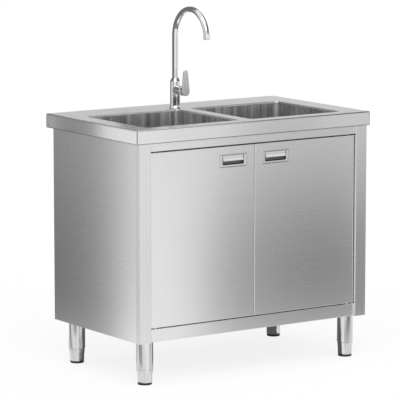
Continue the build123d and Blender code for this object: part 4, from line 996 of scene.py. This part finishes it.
rivets_per_side, end_inset, flange_inset = 8, 30, 11
first_z, last_z = box("back_panel")[0].z + end_inset, box("back_panel")[1].z - end_inset
step = (0, 0, (last_z - first_z) * MM / (rivets_per_side - 1))
profile = [(0, 1.3), (0.9, 1.3), (1.0, 1.1), (1.6, 1.1), (2.6, 0.8), (3.2, 0.3), (3.4, 0.0)]
head = lathe(profile, axis="Y", segments=16, hold=False)
rivets = [grow_mesh(rivet_tree, head, "brushed_sheet", Count=rivets_per_side, Step=step,
                    First=tuple(mm(sign * (panel_high.x - flange_inset), panel_high.y, first_z)))
          for sign in signs.values()]
add_piece("back_rivets", rivets, "brushed_sheet", angle=35)

# %% [markdown]
# ## Floor, light and surroundings
# The object stands on a plain white floor that runs out of the picture, under a large soft sun and an
# even white world. Polished metal shows what stands round it, so a few large grey cards stand outside
# the picture, as a photographer would set them; only reflections see them. A dark sheet under the unit,
# which only reflections see too, is painted shade.

# %% Floor and world
def seen_rays(tree):
    """The light path, and 1 for rays from the camera and from reflections."""
    path = node(tree, "ShaderNodeLightPath").outputs
    return path, maths(tree, "MAXIMUM", path["Is Camera Ray"], path["Is Glossy Ray"])


def stage_sheet(sheet_name, points, faces, material):
    """A mesh of the studio, which is no part of the object."""
    mesh = bpy.data.meshes.new(sheet_name)
    mesh.from_pydata(points, [], faces)
    mesh.materials.append(material)
    made = bpy.data.objects.new(sheet_name, mesh)
    scene.collection.objects.link(made)
    return made


floor_material, tree = start_material("studio floor")
lift = maths(tree, "MULTIPLY", seen_rays(tree)[1], 0.80)
matt = node(tree, "ShaderNodeBsdfDiffuse", {"Color": (0.94, 0.94, 0.94, 1)})
white = node(tree, "ShaderNodeEmission", {"Color": (1, 1, 1, 1), "Strength": 1.02})
shaded(floor_material, "ShaderNodeMixShader", {"Fac": lift, 1: matt, 2: white})
reach = 60.0
stage_sheet("floor", [(-reach, -reach, 0), (reach, -reach, 0), (reach, reach, 0), (-reach, reach, 0)],
            [(0, 1, 2, 3)], floor_material)

scene.world = bpy.data.worlds.new("studio")
scene.world.use_nodes = True
tree = scene.world.node_tree
tree.nodes.clear()
path, seen = seen_rays(tree)
seen = maths(tree, "MAXIMUM", seen, path["Is Transmission Ray"])
strength = node(tree, "ShaderNodeMapRange", {"Value": seen, "To Min": 0.72, "To Max": 1.0})
sky = node(tree, "ShaderNodeBackground", {"Color": (1, 1, 1, 1), "Strength": strength})
node(tree, "ShaderNodeOutputWorld", {"Surface": sky})
print("floor and world ready")

# %% Lamp and reflection cards
sun = bpy.data.lights.new("soft sun", "SUN")
sun.energy = 1.1
sun.angle = radians(50)
sun_object = bpy.data.objects.new("soft sun", sun)
sun_object.rotation_euler = (radians(38), radians(-14), radians(-12))
scene.collection.objects.link(sun_object)


def card(card_name, corner, across, along, shade, steps=24):
    """A glowing sheet that only reflections see; shade is its brightness, or a function of (u, v)."""
    corner, across, along = Vector(corner), Vector(across), Vector(along)
    spots = [(i / steps, j / steps) for j in range(steps + 1) for i in range(steps + 1)]
    row = steps + 1
    faces = [(k, k + 1, k + 1 + row, k + row)
             for j in range(steps) for k in range(j * row, j * row + steps)]
    material, tree = start_material(card_name)
    tone = node(tree, "ShaderNodeAttribute", attribute_name="glow")
    shaded(material, "ShaderNodeEmission", {"Color": tone, "Strength": 1.0})
    points = [tuple(corner + across * u + along * v) for u, v in spots]
    made = stage_sheet(card_name, points, faces, material)
    glow = made.data.color_attributes.new("glow", "FLOAT_COLOR", "POINT")
    for point, (u, v) in zip(glow.data, spots):
        tone = shade(u, v) if callable(shade) else shade
        point.color = (tone, tone, tone, 1)
    for ray in ("camera", "diffuse", "shadow", "transmission"):
        setattr(made, f"visible_{ray}", False)


def blend(first, second, share):
    """A tone between two."""
    return first + (second - first) * min(max(share, 0), 1)


def fading(place, start, near, far):
    """Brightness that drops quickly past a start, and then slowly; near and far are the two drops."""
    past = max(place - start, 0)
    return 1 - near[0] * (1 - exp(-past / near[1])) - far[0] * (1 - exp(-past / far[1]))


front_size, front_start, front_end = 3.0, 0.42, 1.27
side_start, side_length, side_height, slant = 0.5, 2.2, 2.4, 1.18
under_size, left_width, left_depth = 0.9, 1.7, 1.8


def past_front_end(tone, place):
    """Light again past the end of the doors' reflection."""
    return blend(tone, 0.75, (place - front_end) / 0.03)


def front_tone(u, v):
    """Fades to the right at the doors' height, bright above them and dark at the top."""
    place, height = front_size * u, front_size * v
    rise = blend(0, 0.45, (height - 0.25) / 0.45)
    near, far = (0.50 - 0.9 * rise, 0.06), (0.42 - 0.45 * rise, 0.40)
    low_part = fading(place, front_start + 0.25 * rise, near, far)
    high_part = blend(0.62, 1.0, (height - 0.95) / 0.10)
    tone = blend(past_front_end(low_part, place), high_part, (height - 0.75) / 0.20)
    return blend(tone, 0.20, (height - 1.5) / 0.1)


def front_mat_tone(u, v):
    """The same fade on the floor, from white at the unit's foot."""
    place = front_size * u
    far = past_front_end(fading(place, front_start, (0.50, 0.07), (0.42, 0.40)), place)
    return blend(1.0, far, (v - 0.1) / 0.65)


def side_fade(u):
    """The fade towards the back, as the side panel shows it."""
    return fading(side_start + side_length * u, 1.04, (0.76, 0.055), (0.12, 0.5))


def side_tone(u, v):
    return blend(side_fade(u), 0.94, 0.24 * blend(0, 1, (side_height * v - 0.1) / 0.6))


def side_mat_tone(u, v):
    return blend(1.0, side_fade(u), v / 0.45)


def left_mat_tone(u, v):
    """Grey only in a wedge to the left, as seen from the front left leg."""
    bearing = degrees(atan2(0.02 + left_width * u, left_depth * (0.5 - v)))
    return 1 - 0.50 * blend(0, 1, (bearing - 60) / 8) * blend(1, 0, (bearing - 116) / 8)


def under_shade_tone(u, v):
    """Painted shade under the unit, which only reflections see, lighter round the front left leg."""
    return blend(0.65, 0.14, (under_size * hypot(u, v) - 0.30) / 0.10)


# %% Place the cards
front_slant = 0.679
seal = centre_of("tap_base_seal") * MM
card("front right card", (0, -1.3, 0), (front_size, 0, 0), (0, 0, front_size), front_tone, 40)
card("front right mat", (-front_slant, -0.3, 0.003), (front_size, 0, 0), (front_slant, -1.0, 0),
     front_mat_tone, 40)
card("back left card", (-1.3, side_start, 0), (0, side_length, 0), (0, 0, side_height), side_tone, 56)
card("back left mat", (-0.5, side_start - slant, 0.003), (0, side_length, 0), (-0.8, slant, 0),
     side_mat_tone, 56)
card("left card", (-2.2, -0.9, 0), (0, 1.2, 0), (0, 0, 2.6), 0.42, 2)
card("left mat", (-0.456, -1.145, 0.002), (-left_width, 0, 0), (0, left_depth, 0), left_mat_tone, 60)
# a dark sheet that only reflections see: painted shade under the unit
card("painted shade under the unit", (-0.44, -0.26, 0.004), (under_size, 0, 0), (0, under_size, 0), under_shade_tone)
card("back card", (-0.9, 1.7, 0), (1.25, 0, 0), (0, 0, 2.2), 0.16, 2)
card("tap card", (seal.x - 0.09, seal.y - 0.03, 1.0), (0, 0.24, 0), (0, 0, 0.40), 0.20, 2)
card("high back card", (-1.0, 0.6, 2.4), (2.6, 0, 0), (0, 1.6, 0), 0.20, 2)
card("high right card", (2.5, -1.5, 1.7), (0, 3.0, 0), (0, 0, 3.0), 0.10, 2)
card("far right card", (0.2, 5.0, 0), (5.0, -3.4, 0), (0, 0, 5.0), 0.80, 2)
print("lamp and cards ready")

# %% [markdown]
# ## Colour management
# The view transform is set to Standard.

# %% View transform
scene.view_settings.view_transform = "Standard"
